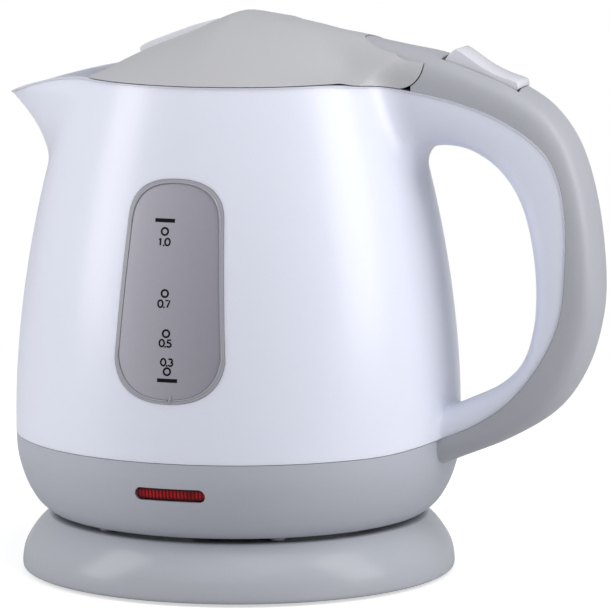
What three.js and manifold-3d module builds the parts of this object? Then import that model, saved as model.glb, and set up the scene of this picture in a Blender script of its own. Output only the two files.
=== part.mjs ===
// Electric kettle: a one-litre plastic jug that sits on a round stand and can turn on it.
// Millimetres, +Z up. The origin is on the table, under the middle of the whole object:
// +X towards the handle, -X towards the spout, -Y towards the water gauge.
// Each piece is drawn round the jug's own axis, and the whole group then moves by AXIS_X.
import * as THREE from "three";
import { mergeVertices } from "three/addons/utils/BufferGeometryUtils.js";
import Module from "manifold-3d";

const wasm = await Module();
wasm.setup();

// Overall sizes
const SPOUT_REACH = 81;
const HANDLE_REACH = 126.6;
const AXIS_X = (SPOUT_REACH - HANDLE_REACH) / 2;
const GAP = 0.3;
const ROUND_STEPS = 40;
const HIDDEN_STEPS = 28;
const SMALL_STEPS = 14;
const SCREW_STEPS = 8;

// Jug body
const BODY_RADIUS = 74.7;
const BODY_BASE = 46.9;
const BELLY_HEIGHT = 52;
const RIM_HEIGHT = 167.1;
const WALL = 2.6;
const FLOOR_HEIGHT = 57;
const MOUTH_RADIUS = 54.6;

// Casing under the body, and the stand
const CASING_BASE = 20.6;
const CASING_FOOT_RADIUS = 63.8;
const STAND_RADIUS = 72.8;
const STAND_TOP = 19.3;
const STAND_EDGE = 1.2;
const DECK_HEIGHT = 18.9;
const POST_RADIUS = 11;
const POST_TOP = 31;
const PLATE_HEIGHT = 1.8;
const PLATE_THICKNESS = 2.2;

// Handle, lid hinge and switch
const HANDLE_HALF_WIDTH = 13;
const HANDLE_SKIN = 2.5;
const HINGE = new THREE.Vector2(59.5, 172.8);
const EAR_RADIUS = 8.2;
const EAR_INSIDE = 8.6;
const NOSE_RADIUS = 16.2;
const NOSE_HALF_WIDTH = 8.2;
const ROCKER_PIVOT = new THREE.Vector2(87, 164.6);
const ROCKER_HALF_WIDTH = 7;
const LEVER_PIVOT = new THREE.Vector2(92, 156.5);

// Water gauge and lamp
const GAUGE_BOTTOM = 66.3;
const GAUGE_TOP = 138.3;
const GAUGE_HALF_WIDTH = 19;
const GAUGE_X = 0.8;
const LENS_HEIGHT = 36.3;
const LENS_WIDTH = 23.4;
const LENS_X = 1.2;
const LENS_DEPTH = 3.8;

// Heater
const ELEMENT_RADIUS = 36;
const ELEMENT_TUBE = 3.9;

const white = plastic(0xdfe1f0, 0.22);
const handleWhite = plastic(0xd2d4e2, 0.3);
const grey = plastic(0xb2b4ba, 0.45);
const standGrey = plastic(0xa5a8b0, 0.25);
const smoked = plastic(0x9a9aa2, 0.15);
const black = plastic(0x26272a, 0.6);
const amber = plastic(0xb98a4a, 0.5);
const rubber = plastic(0x8d9096, 0.9);
const red = plastic(0x6b1720, 0.1);
const glass = plastic(0xe8a27a, 0.05);
const steel = metal(0xc4c6c8, 0.25);
const aluminium = metal(0xb9bcc0, 0.45);
const brass = metal(0xc9a95a, 0.3);

function plastic(color, roughness) {
  return new THREE.MeshStandardMaterial({ color, roughness, metalness: 0 });
}

function metal(color, roughness) {
  return new THREE.MeshStandardMaterial({ color, roughness, metalness: 1 });
}

// A geometry becomes a solid once its shared corners are merged and its faces point out
function solid(geometry) {
  const bare = geometry.clone();
  bare.deleteAttribute("normal");
  bare.deleteAttribute("uv");
  const merged = mergeVertices(bare, 1e-4);
  const place = merged.attributes.position;
  const corners = [];
  for (let i = 0; i < merged.index.count; i += 3) {
    const [a, b, c] = [0, 1, 2].map((k) => merged.index.getX(i + k));
    if (a !== b && b !== c && c !== a) corners.push([a, b, c]);
  }
  const point = (i) => new THREE.Vector3().fromBufferAttribute(place, i);
  const volume = corners.reduce((sum, [a, b, c]) => sum + point(a).dot(point(b).cross(point(c))), 0);
  const triVerts = new Uint32Array(corners.flatMap(([a, b, c]) => (volume < 0 ? [a, c, b] : [a, b, c])));
  const vertProperties = new Float32Array(place.array);
  return new wasm.Manifold(new wasm.Mesh({ numProp: 3, vertProperties, triVerts }));
}

function join(...pieces) {
  return pieces.reduce((sum, piece) => sum.add(piece));
}

function cut(piece, ...tools) {
  return tools.reduce((rest, tool) => rest.subtract(tool), piece);
}

function mesh(name, body, material) {
  const data = body.getMesh();
  const geometry = new THREE.BufferGeometry();
  geometry.setAttribute("position", new THREE.BufferAttribute(data.vertProperties, 3));
  geometry.setIndex(new THREE.BufferAttribute(data.triVerts, 1));
  geometry.computeVertexNormals();
  const result = new THREE.Mesh(geometry, material);
  result.name = name;
  return result;
}

// Basic forms, all placed in the jug's frame
function turned(profile, steps = ROUND_STEPS) {
  const points = profile.map(([radius, height]) => new THREE.Vector2(radius, height));
  if (points[0].x > 0) points.push(points[0].clone());
  return solid(new THREE.LatheGeometry(points, steps).rotateX(Math.PI / 2));
}

function disc(radius, bottom, top, x = 0, y = 0, steps = SMALL_STEPS) {
  const geometry = new THREE.CylinderGeometry(radius, radius, top - bottom, steps).rotateX(Math.PI / 2);
  return solid(geometry.translate(x, y, (top + bottom) / 2));
}

function ring(inner, outer, bottom, top, steps = ROUND_STEPS) {
  return turned([[inner, bottom], [outer, bottom], [outer, top], [inner, top]], steps);
}

function block([x0, y0, z0], [x1, y1, z1]) {
  const geometry = new THREE.BoxGeometry(x1 - x0, y1 - y0, z1 - z0);
  return solid(geometry.translate((x0 + x1) / 2, (y0 + y1) / 2, (z0 + z1) / 2));
}

// A side outline in x and z, carried across from y0 to y1, with its long edges rounded if asked
function across(shape, y0, y1, rounding = 0) {
  const settings = { depth: y1 - y0 - 2 * rounding, curveSegments: 8, bevelEnabled: rounding > 0 };
  Object.assign(settings, { bevelThickness: rounding, bevelSize: rounding, bevelOffset: -rounding });
  settings.bevelSegments = 2;
  const geometry = new THREE.ExtrudeGeometry(shape, settings);
  return solid(geometry.rotateX(Math.PI / 2).translate(0, y1 - rounding, 0));
}

function pinAcross(radius, [x, z], y0, y1, steps = 12) {
  const geometry = new THREE.CylinderGeometry(radius, radius, y1 - y0, steps);
  return solid(geometry.translate(x, (y0 + y1) / 2, z));
}

function wire(points, radius) {
  const section = new THREE.Shape().absarc(0, 0, radius, 0, 2 * Math.PI);
  const extrudePath = new THREE.CatmullRomCurve3(points.map((p) => new THREE.Vector3(...p)));
  return solid(new THREE.ExtrudeGeometry(section, { steps: 26, curveSegments: 3, extrudePath }));
}

function outline(points) {
  return new THREE.Shape(points.map(([x, z]) => new THREE.Vector2(x, z)));
}

function smooth(points, steps) {
  const curve = new THREE.SplineCurve(points.map(([x, z]) => new THREE.Vector2(x, z)));
  return curve.getPoints(steps).map((p) => [p.x, p.y]);
}

// The same line moved sideways, to its left when the distance is positive
function beside(line, distance) {
  return line.map(([x, z], i) => {
    const before = line[Math.max(i - 1, 0)];
    const after = line[Math.min(i + 1, line.length - 1)];
    const along = new THREE.Vector2(after[0] - before[0], after[1] - before[1]).normalize();
    return [x - along.y * distance, z + along.x * distance];
  });
}

function heightAt(line, x) {
  const next = Math.max(1, line.findIndex(([px]) => px >= x));
  const [[x0, z0], [x1, z1]] = [line[next - 1], line[next]];
  return z0 + ((z1 - z0) * (x - x0)) / (x1 - x0);
}

// The belly is widest low down and draws in towards the mouth
function bodyRadius(z) {
  const drawIn = 11.4;
  const span = 85.4;
  return BODY_RADIUS - drawIn * (Math.max(0, z - BELLY_HEIGHT) / span) ** 1.9;
}

// How far the spout's keel stands out from the axis, and how blunt it is
function spoutKeel(z) {
  const up = Math.max(0, z - 132) / 26.1;
  const reach = 66 + (SPOUT_REACH - 66) * Math.min(up, 1.1) ** 1.7;
  return { reach, blunt: THREE.MathUtils.lerp(18, 3.5, Math.min(up, 1)) };
}

// The rim is level round the mouth and falls away to the spout's tip and to the handle
function rimHeight(x) {
  const toSpout = Math.max(0, -x - 42) / (SPOUT_REACH - 42);
  const toHandle = Math.max(0, x - 38) / 22.5;
  return RIM_HEIGHT - 9 * toSpout ** 1.6 - 3 * Math.min(toHandle, 1.4) ** 1.6;
}

// Distance from the axis to the edge of a round plan with a beak, in direction a from the beak
function reachToSpout(a, radius, { reach, blunt }) {
  if (reach <= radius) return radius;
  const centre = reach - blunt;
  const lean = Math.acos((radius - blunt) / centre);
  const start = Math.atan2(blunt * Math.sin(lean), centre + blunt * Math.cos(lean));
  if (a >= lean) return radius;
  if (a >= start) return radius / Math.cos(lean - a);
  return centre * Math.cos(a) + Math.sqrt(blunt ** 2 - (centre * Math.sin(a)) ** 2);
}

function bodyReach(a, z) {
  const radius = bodyRadius(z);
  const fromSpout = Math.abs(Math.PI - a);
  return fromSpout < Math.PI / 2 ? reachToSpout(fromSpout, radius, spoutKeel(z)) : radius;
}

// Directions round the axis, closer together at the spout's tip
function directions(steps) {
  const even = Array.from({ length: steps }, (_, i) => (i * 2 * Math.PI) / steps);
  const fine = [-5, -2.5, 2.5, 5].map((d) => Math.PI + THREE.MathUtils.degToRad(d));
  return [...even, ...fine].sort((a, b) => a - b);
}

// A closed skin through rings of points, each end closed by a fan
function loft(rings, bottomCentre, topCentre) {
  const count = rings[0].length;
  const points = [...rings.flat(), bottomCentre, topCentre];
  const bottom = rings.length * count;
  const index = [];
  for (let i = 0; i < count; i++) {
    const j = (i + 1) % count;
    index.push(bottom, j, i);
    const last = (rings.length - 1) * count;
    index.push(bottom + 1, last + i, last + j);
    for (let level = 0; level + 1 < rings.length; level++) {
      const low = level * count;
      const high = low + count;
      index.push(low + i, low + j, high + j, low + i, high + j, high + i);
    }
  }
  const geometry = new THREE.BufferGeometry();
  geometry.setAttribute("position", new THREE.Float32BufferAttribute(points.flat(), 3));
  geometry.setIndex(index);
  return solid(geometry);
}

// The body's outer form, moved in or out by an offset, between a level and the rim
function bodyForm(offset, bottom, overRim, fine = true) {
  const levels = fine ? [0, 0.18, 0.36, 0.52, 0.66, 0.77, 0.82, 0.87, 0.93, 1] : [0, 0.3, 0.6, 0.8, 0.92, 1];
  const rings = levels.map((level) =>
    directions(fine ? ROUND_STEPS : 24).map((a) => {
      const rimReach = bodyReach(a, a > 2 && a < 4.3 ? 158 : RIM_HEIGHT - 3);
      const top = rimHeight(rimReach * Math.cos(a)) + overRim;
      const z = THREE.MathUtils.lerp(bottom, top, level);
      const reach = bodyReach(a, Math.min(z, RIM_HEIGHT)) + offset;
      return [reach * Math.cos(a), reach * Math.sin(a), z];
    }),
  );
  return loft(rings, [0, 0, bottom], [0, 0, RIM_HEIGHT + overRim]);
}

function gaugeShape(grow) {
  const [low, high] = [GAUGE_BOTTOM - grow, GAUGE_TOP + grow];
  const [wide, narrow] = [GAUGE_HALF_WIDTH + grow, GAUGE_HALF_WIDTH - 2.8 + grow];
  const shape = new THREE.Shape();
  shape.moveTo(0, low);
  shape.quadraticCurveTo(wide - 0.5, low, wide, low + 16);
  shape.lineTo(narrow, high - 13);
  shape.quadraticCurveTo(narrow - 0.5, high, 0, high);
  shape.quadraticCurveTo(0.5 - narrow, high, -narrow, high - 13);
  shape.lineTo(-wide, low + 16);
  shape.quadraticCurveTo(0.5 - wide, low, 0, low);
  return shape;
}

function gaugeTool(grow) {
  return across(gaugeShape(grow), -90, -45).translate([GAUGE_X, 0, 0]);
}

// The lid's ridge, in x and z, from its front edge to the handle
const ridgeLine = smooth(
  [[-44, 166], [-39.5, 169.2], [-35, 172.1], [-22, 178], [-11, 182.4], [-3, 186.6], [2, 188.1],
    [9, 187.5], [20, 185.6], [35, 182.6], [56, 178.4], [72, 175.8]],
  30,
);

// The handle's outer line, grip line and parting line run side by side, from the lid to the casing
const outerLine = smooth(
  [[43, 181.2], [58, 178], [72, 175.4], [86, 171], [98.5, 165.9], [109.6, 158.3], [118.3, 145.5],
    [123.9, 126], [HANDLE_REACH, 103], [125.1, 87], [120.1, 71.5], [111, 58.5], [96.5, 49], [78, 41],
    [62, 34]],
  26,
);
const gripLine = smooth(
  [[44, 136], [58, 139.5], [69, 144.8], [79, 145], [87.5, 141.6], [94.5, 135.6], [99.8, 127],
    [103.2, 115.5], [105, 101], [104.4, 87], [100.7, 75], [92.5, 66.8], [81, 61], [70, 56.5], [60, 54]],
  26,
);
const partingLine = smooth(
  [[30, 167.4], [50, 165.4], [60, 164.2], [77, 161.7], [92, 157.2], [104.6, 150.3], [112, 141.9],
    [116, 128], [116.7, 110], [115, 91], [108.6, 76], [98, 62.5], [86, 54], [75, 49.2], [50, 40]],
  30,
);

// The whole handle as one rounded bar, moved in by an inset
function handleForm(inset, sides) {
  const half = HANDLE_HALF_WIDTH - inset;
  const bow = (value) => Math.sign(value) * Math.abs(value) ** 0.6;
  const rings = outerLine.map(([ox, oz], i) => {
    const [gx, gz] = gripLine[i];
    const depth = Math.hypot(ox - gx, oz - gz) / 2;
    const share = 1 - inset / depth;
    return Array.from({ length: sides }, (_, k) => {
      const turn = ((k + 0.5) * 2 * Math.PI) / sides;
      const out = (bow(Math.cos(turn)) * share) / 2;
      return [(ox + gx) / 2 + (ox - gx) * out, half * bow(Math.sin(turn)), (oz + gz) / 2 + (oz - gz) * out];
    });
  });
  const middle = (i) => [(outerLine[i][0] + gripLine[i][0]) / 2, 0, (outerLine[i][1] + gripLine[i][1]) / 2];
  return loft(rings, middle(0), middle(rings.length - 1));
}

// Everything on the outer side of the parting line
function outerSide(shift) {
  const line = beside(partingLine, shift);
  return across(outline([...line, [50, 10], [150, 10], [150, 210], [30, 210]]), -30, 30);
}

// Pieces of the handle's lower end taper to a rounded tip where they lie on the casing
function handleEndMask() {
  const shape = new THREE.Shape();
  shape.moveTo(-HANDLE_HALF_WIDTH - 1, 200);
  shape.lineTo(-HANDLE_HALF_WIDTH - 1, 66);
  shape.bezierCurveTo(-HANDLE_HALF_WIDTH - 1, 50, -9, 39, 0, 39);
  shape.bezierCurveTo(9, 39, HANDLE_HALF_WIDTH + 1, 50, HANDLE_HALF_WIDTH + 1, 66);
  shape.lineTo(HANDLE_HALF_WIDTH + 1, 200);
  const geometry = new THREE.ExtrudeGeometry(shape, { depth: 120, bevelEnabled: false, curveSegments: 6 });
  return solid(geometry.rotateX(Math.PI / 2).rotateZ(Math.PI / 2).translate(30, 0, 0));
}

// The hollow inside both halves, stopped short of the body at its top and bottom
function handleHollow() {
  const upper = block([64, -20, 100], [140, 20, 200]);
  const lower = block([77, -20, 40], [140, 20, 101]);
  const nose = block([55, -6, 168.5], [65, 6, 174]);
  return handleForm(HANDLE_SKIN, 8).intersect(join(upper, lower)).subtract(nose);
}

// The rounded nose of the handle cover turns a clear path for the lid behind it
function noseForm(grow) {
  const radii = [[0, NOSE_RADIUS], [3, 15.8], [5.6, 14.3], [7.3, 12.2], [NOSE_HALF_WIDTH, 10.2]];
  const right = radii.map(([y, radius]) => new THREE.Vector2(radius + grow, y));
  const left = right.slice(1).reverse().map((p) => new THREE.Vector2(p.x, -p.y));
  const ends = [new THREE.Vector2(0, -NOSE_HALF_WIDTH), new THREE.Vector2(0, NOSE_HALF_WIDTH)];
  const geometry = new THREE.LatheGeometry([ends[0], ...left, ...right, ends[1]], 40);
  return solid(geometry.translate(HINGE.x, 0, HINGE.y));
}

function handleCover() {
  const blank = handleForm(0, 14).intersect(outerSide(GAP));
  const noseZone = block([30, -30, 150], [HINGE.x, 30, 200]);
  const earRoom = [-1, 1].map((side) => {
    const [y0, y1] = side < 0 ? [-20, 0.4 - EAR_INSIDE] : [EAR_INSIDE - 0.4, 20];
    return join(
      pinAcross(EAR_RADIUS + 0.5, HINGE.toArray(), y0, y1, 28),
      block([30, y0, 150], [HINGE.x, y1, 200]),
      block([HINGE.x - 1, y0, HINGE.y], [HINGE.x + EAR_RADIUS + 0.5, y1, 200]),
    );
  });
  const holeHalf = ROCKER_HALF_WIDTH + 0.4;
  const rockerHole = block([72.8, -holeHalf, 160], [99.5, holeHalf, 190]);
  const cheekRoom = block([82.8, -9.2, 150], [91.2, 9.2, 166.8]);
  const rounded = cut(blank, noseZone.subtract(noseForm(-GAP)), ...earRoom);
  const hollowed = cut(rounded, handleHollow(), rockerHole, cheekRoom);
  return cut(
    hollowed.intersect(handleEndMask()),
    casingForm(GAP + 0.1),
    bodyForm(GAP + 0.1, BODY_BASE - 1, 0),
    pinAcross(1.6, HINGE.toArray(), -20, 20),
    block([30, -30, 100], [64, 30, 168]),
  );
}

function casingForm(offset) {
  const profile = [
    [CASING_FOOT_RADIUS, CASING_BASE], [66.3, 22.6], [68.5, 25.3], [71.2, 30.2], [73.2, 35.8],
    [74.3, 41], [BODY_RADIUS, BODY_BASE + 0.2],
  ];
  const skin = profile.map(([radius, z]) => [radius + offset, z]);
  return turned([[0, CASING_BASE - (offset > 0 ? offset : 0)], ...skin, [0, BODY_BASE + 0.2]]);
}

// The white moulding: body with spout, and the inner half of the handle as an open channel
function jugBody() {
  const grip = handleForm(0, 14).subtract(outerSide(0));
  const outside = join(
    bodyForm(0, BODY_BASE, 0),
    ring(69.2, 71.4, 41, 54),
    grip.intersect(handleEndMask()),
  );
  const chamber = bodyForm(-WALL, FLOOR_HEIGHT, 6);
  const below = turned([[0, 36], [69.2, 36], [69.2, 41], [72, 54], [0, 54]]);
  const heaterHole = disc(61, 30, FLOOR_HEIGHT + 1, 0, 0, ROUND_STEPS);
  const wireHole = block([66, -5, 40], [79, 5, 53.8]);
  const steamHole = block([48, -5, 152], [70, 5, 158]);
  const lidSweep = block([HINGE.x - 10, -40, 166.9], [80, 40, 200]);
  return cut(
    outside,
    chamber,
    below,
    heaterHole,
    wireHole,
    steamHole,
    lidSweep,
    handleHollow(),
    gaugeTool(GAP),
    pinAcross(EAR_RADIUS + 0.5, HINGE.toArray(), -20, 20, 28),
  );
}

function gaugeBezel() {
  const band = bodyForm(0.5, BODY_BASE, 0).subtract(bodyForm(-WALL, BODY_BASE - 1, 9, false));
  return band.intersect(gaugeTool(0)).subtract(gaugeTool(-2));
}

function gaugeWindow() {
  const band = bodyForm(-0.3, BODY_BASE, 0).subtract(bodyForm(-WALL, BODY_BASE - 1, 9, false));
  return band.intersect(gaugeTool(-2 - GAP));
}

function lowerCasing() {
  const inside = turned([[0, 10], [61.9, 10], [61.9, 23.6], [66, 26.4], [68.6, 31], [70.6, 36],
    [71.7, 41], [71.9, 60], [0, 60]]);
  const trimmed = casingForm(0).subtract(block([-90, -90, BODY_BASE - GAP], [90, 90, 60]));
  return cut(trimmed, inside, lensTool(GAP));
}

function lensTool(grow) {
  const half = LENS_WIDTH / 2 - LENS_DEPTH / 2;
  const radius = LENS_DEPTH / 2 + grow;
  const shape = new THREE.Shape();
  shape.absarc(half, LENS_HEIGHT, radius, -Math.PI / 2, Math.PI / 2);
  shape.absarc(-half, LENS_HEIGHT, radius, Math.PI / 2, (3 * Math.PI) / 2);
  return across(shape, -90, -60).translate([LENS_X, 0, 0]);
}

function indicatorLens() {
  return lensTool(0).intersect(casingForm(-0.7)).subtract(disc(69.4, 20, 60, 0, 0, ROUND_STEPS));
}

// The lid's upper surface: a ridge that falls away to the rim at each side
function lidHeight(x, y) {
  const low = rimHeight(x) + 0.4;
  const high = heightAt(ridgeLine, x);
  const halfWidth = Math.sqrt(Math.max(1, MOUTH_RADIUS ** 2 - x * x));
  return low + (high - low) * (1 - Math.min(1, Math.abs(y) / halfWidth) ** 2);
}

function lidReach(a) {
  const front = 44 - 8 * Math.sin(a) ** 2;
  return Math.cos(a) < 0 ? Math.min(MOUTH_RADIUS, front / -Math.cos(a)) : MOUTH_RADIUS;
}

function lidForm(inset, bottom) {
  const shares = [1, 0.9, 0.72, 0.5, 0.25, 0.09];
  const around = directions(36);
  const place = (a, share) => {
    const reach = (lidReach(a) - inset) * share;
    return [reach * Math.cos(a), reach * Math.sin(a)];
  };
  const upper = shares.map((share) =>
    around.map((a) => {
      const [x, y] = place(a, share);
      return [x, y, lidHeight(x, y) - inset];
    }),
  );
  const edge = around.map((a) => {
    const [x, y] = place(a, 1);
    return [x, y, bottom ?? rimHeight(x) + 0.35 - inset];
  });
  const under = bottom ?? RIM_HEIGHT + 0.35 - inset;
  return loft([edge, ...upper], [0, 0, under], [0, 0, lidHeight(0, 0) - inset]);
}

// The lid's rear carries the handle's rounded section on as two ears beside the cover's nose
function lidShell() {
  const shell = lidForm(0).subtract(lidForm(2.2, 158));
  const earZone = block([47, -30, 160], [HINGE.x + EAR_RADIUS, 30, 200]);
  const bar = handleForm(0, 14).intersect(earZone).intersect(outerSide(GAP));
  const ears = bar.subtract(bodyForm(GAP, 150, GAP));
  const pocketWall = noseForm(2.4).intersect(lidForm(0.1)).intersect(block([30, -12, 164], [56, 12, 200]));
  const noseRoom = block([HINGE.x - 8, -EAR_INSIDE, 150], [90, EAR_INSIDE, 200]);
  return cut(
    join(shell, ears, pocketWall),
    earBack(),
    noseForm(GAP + 0.1),
    noseRoom,
    pinAcross(1.6, HINGE.toArray(), -10, 10),
    lidScrewTool(0, 1.5, 4),
  );
}

// The lid's rear corners are rounded about the hinge, so that they turn inside the handle cover
function earBack() {
  const behind = block([HINGE.x, -30, 150], [90, 30, 200]);
  return behind.subtract(pinAcross(EAR_RADIUS, HINGE.toArray(), -30, 30, 28));
}

const lidScrewSpots = [[-6, 30], [-6, -30]];

function lidScrewTool(bottom, radius, rise) {
  const tools = lidScrewSpots.map(([x, y]) => disc(radius, 160 + bottom, 170 + rise, x, y, SCREW_STEPS));
  return join(...tools);
}

// The liner closes the lid from below and drops into the mouth
function lidLiner() {
  const dish = turned([[0, 163], [47, 163], [47, 157.5], [49, 157.5], [49, 165], [0, 165]]);
  const bosses = lidScrewSpots.map(([x, y]) => disc(3.6, 164, 168, x, y, 14));
  const frontCut = block([-90, -90, 150], [-40, 90, 200]);
  const rearCut = join(noseForm(3.2), block([HINGE.x - 9, -20, 150], [90, 20, 200]));
  const steamSlot = block([20, -5, 160], [34, 5, 168]);
  const inLid = lidForm(2.6, 150);
  return cut(join(dish, ...bosses).intersect(inLid), frontCut, rearCut, steamSlot, lidScrewTool(-2, 1.6, 0));
}

function lidScrew([x, y]) {
  return join(disc(2.8, 161, 162.6, x, y, SCREW_STEPS), disc(1.2, 162.6, 167.4, x, y, SCREW_STEPS));
}

function lidTab() {
  const top = smooth([[-32.6, 175], [-27.5, 177.6], [-17, 181.7], [-8.8, 184.6]], 8);
  const under = top.map(([x, z]) => [x, z - 4]).reverse();
  const plate = across(outline([...top, ...under]), -7, 7, 0.6);
  return plate.subtract(lidForm(-GAP, 150));
}

// The spout's filter: a frame that follows the inner wall, with a fine net in it
function filterFrame() {
  const zone = block([-46, -40, 128], [-42.5, 40, 163.2]);
  const fit = bodyForm(-WALL - 0.9, 120, 0).intersect(zone);
  return fit.subtract(filterOpening(0));
}

function filterOpening(shrink) {
  return block([-60, -24 + shrink, 134 + shrink], [-30, 24 - shrink, 158 - shrink]);
}

function filterNet() {
  return block([-44.6, -30, 130], [-43.9, 30, 160]).intersect(filterOpening(GAP));
}

// Heater, seen from the water side down
function elementPlate() {
  return turned([[0, 56.2], [58.8, 56.2], [59.4, 51.2], [66.6, 51.2], [66.6, 52.3], [60.4, 52.3],
    [60.4, FLOOR_HEIGHT], [0, FLOOR_HEIGHT]], HIDDEN_STEPS);
}

function heatingElement() {
  const sweep = THREE.MathUtils.degToRad(310);
  const points = Array.from({ length: 25 }, (_, i) => {
    const a = (i / 24) * sweep + THREE.MathUtils.degToRad(115);
    return new THREE.Vector3(ELEMENT_RADIUS * Math.cos(a), ELEMENT_RADIUS * Math.sin(a), 48.2);
  });
  const section = new THREE.Shape().absarc(0, 0, ELEMENT_TUBE, 0, 2 * Math.PI);
  const extrudePath = new THREE.CatmullRomCurve3(points);
  const tube = solid(new THREE.ExtrudeGeometry(section, { steps: 24, curveSegments: 4, extrudePath }));
  const ends = [points[0], points[24]].map((p) => disc(1.6, 40, 48, p.x, p.y, 12));
  return join(tube, ...ends);
}

function controlHousing() {
  const drum = join(disc(21, 37, 46, 0, 0, 28), disc(17, 46, 51.6, 0, 0, 28));
  return cut(drum, disc(9.5, 50.4, 52, 0, 0, 24), block([-14, 16, 40], [14, 19, 44]));
}

// Both bimetal discs are thin domes that snap through when they get hot
function bimetalDisc() {
  return turned([[0, 0.5], [4.6, 0], [6.2, -0.5], [6.2, 0], [4.6, 0.5], [0, 1]], 16);
}

function neonLamp(grow = 0) {
  const capsule = new THREE.CapsuleGeometry(2.4 + grow, 8, 3, 10).rotateZ(Math.PI / 2);
  return solid(capsule.translate(LENS_X, -65.6, LENS_HEIGHT));
}

function lampHolder() {
  const post = block([LENS_X - 4, -61, 23.8], [LENS_X + 4, -58.4, 38]);
  const cradle = block([LENS_X - 4, -67.2, 31.4], [LENS_X + 4, -60, 34.6]);
  return post.add(cradle).subtract(neonLamp(0.3));
}

// Base of the jug, with six small feet that rest on the stand's deck
function jugBottomPlate() {
  const feet = Array.from({ length: 6 }, (_, i) => {
    const a = THREE.MathUtils.degToRad(6 + 60 * i);
    return disc(2.6, DECK_HEIGHT + GAP, 22, 58.6 * Math.cos(a), 58.6 * Math.sin(a), 12);
  });
  const holes = casingScrewSpots().map(([x, y]) => disc(1.7, 10, 30, x, y, SCREW_STEPS));
  return cut(join(ring(17.5, 61.5, 21.2, 23.4, HIDDEN_STEPS), ...feet), ...holes);
}

function spotsAround(radius, count, start) {
  return Array.from({ length: count }, (_, i) => {
    const a = THREE.MathUtils.degToRad(start + (360 / count) * i);
    return [radius * Math.cos(a), radius * Math.sin(a)];
  });
}

function casingScrewSpots() {
  return spotsAround(50, 3, 90);
}

function screwUp([x, y], bottom, headRadius, headHeight, shankRadius, length) {
  const seat = bottom + headHeight;
  const head = disc(headRadius, bottom, seat, x, y, SCREW_STEPS);
  return head.add(disc(shankRadius, seat, seat + length, x, y, SCREW_STEPS));
}

// The ring that clamps the plate, with three legs down to the base screws
function clampRing() {
  const legs = casingScrewSpots().map(([x, y]) => disc(3.4, 23.8, 49.6, x, y, 14));
  const arms = casingScrewSpots().map(([x, y]) => {
    const outward = new THREE.Vector2(x, y).normalize();
    return disc(4, 48, 50.8, outward.x * 56, outward.y * 56, 14);
  });
  const holes = casingScrewSpots().map(([x, y]) => disc(1.5, 20, 34, x, y, SCREW_STEPS));
  return cut(join(ring(55, 67.6, 48.6, 50.8, HIDDEN_STEPS), ...legs, ...arms), ...holes);
}

// Stand
function standShell() {
  const skirt = [[STAND_RADIUS - 1, STAND_EDGE], [STAND_RADIUS, 4], [71.9, 8.5], [70.2, 11.8],
    [67.4, 15.9], [63.4, STAND_TOP], [62, STAND_TOP], [61.4, DECK_HEIGHT], [53, DECK_HEIGHT],
    [50, 16.9], [POST_RADIUS + 0.6, 16.9]];
  const inner = [[POST_RADIUS + 0.6, 15], [48, 15], [52, 16.7], [60.5, 16.9], [67.6, 11.6],
    [70.5, 5], [70.5, STAND_EDGE]];
  const bosses = standScrewSpots().map(([x, y]) => disc(3.6, 4.4, 16, x, y, 14));
  const holes = standScrewSpots().map(([x, y]) => disc(1.6, 0, 13, x, y, SCREW_STEPS));
  const cordNotch = block([-6.3, 60, 0], [6.3, 80, 10.3]);
  return cut(join(turned([...skirt, ...inner]), ...bosses), ...holes, cordNotch);
}

function standScrewSpots() {
  return spotsAround(42, 3, 30);
}

function footSpots() {
  return spotsAround(62, 4, 38);
}

function standBottomPlate() {
  const top = PLATE_HEIGHT + PLATE_THICKNESS;
  const plate = turned([[0, PLATE_HEIGHT], [70, PLATE_HEIGHT], [70, top], [0, top]], HIDDEN_STEPS);
  const holes = standScrewSpots().map(([x, y]) => disc(1.7, 0, 10, x, y, SCREW_STEPS));
  const sockets = footSpots().map(([x, y]) => disc(2.3, 0, 10, x, y, SCREW_STEPS));
  const post = ring(8, 10, top - 0.5, 9.6, 24);
  const glandRoom = block([-9.5, 55, 0], [9.5, 80, 10]);
  return cut(plate.add(post), ...holes, ...sockets, glandRoom);
}

function standFoot([x, y]) {
  const pad = disc(5.2, 0, PLATE_HEIGHT - GAP, x, y, 16);
  return pad.add(disc(2, 1, PLATE_HEIGHT + PLATE_THICKNESS + 1, x, y, SCREW_STEPS));
}

// The round plug in the middle of the stand that the jug turns on
function standConnector() {
  const body = turned([[0, 10.1], [20, 10.1], [20, 14.6], [POST_RADIUS, 14.6], [POST_RADIUS, POST_TOP - 2],
    [POST_RADIUS - 1.6, POST_TOP], [0, POST_TOP]], 24);
  const wells = [disc(2.4, 14, 40), ring(5, 7.4, 14, 40, 16)];
  return cut(body, ...wells);
}

function cordGland() {
  const outside = block([-6, 66, STAND_EDGE + 0.4], [6, 73.2, 10]);
  const flange = block([-9, 62, STAND_EDGE + 0.7], [9, 65.7, 11.6]);
  return cut(outside.add(flange).add(block([-6, 65, 2], [6, 67, 10])), boreAlongY(3.4, 5.8, 50, 90));
}

function boreAlongY(radius, z, y0, y1) {
  const geometry = new THREE.CylinderGeometry(radius, radius, y1 - y0, 16);
  return solid(geometry.translate(0, (y0 + y1) / 2, z));
}

// Switch in the top of the handle
function rockerButton() {
  const top = [[74.5, 174.6], [76, 178.6], [80.5, 176.2], [87.4, 172.2], [92.5, 170], [97.4, 168.4],
    [98.7, 165.6]];
  const under = [[96.5, 163.6], [90.5, 162.6], [87, 161.6], [84, 162], [81.5, 159.8], [79.8, 159.8],
    [78.4, 166]];
  const button = across(outline([...top, ...under]), -ROCKER_HALF_WIDTH, ROCKER_HALF_WIDTH, 0.6);
  return button.subtract(pinAcross(1.3, ROCKER_PIVOT.toArray(), -12, 12));
}

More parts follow.
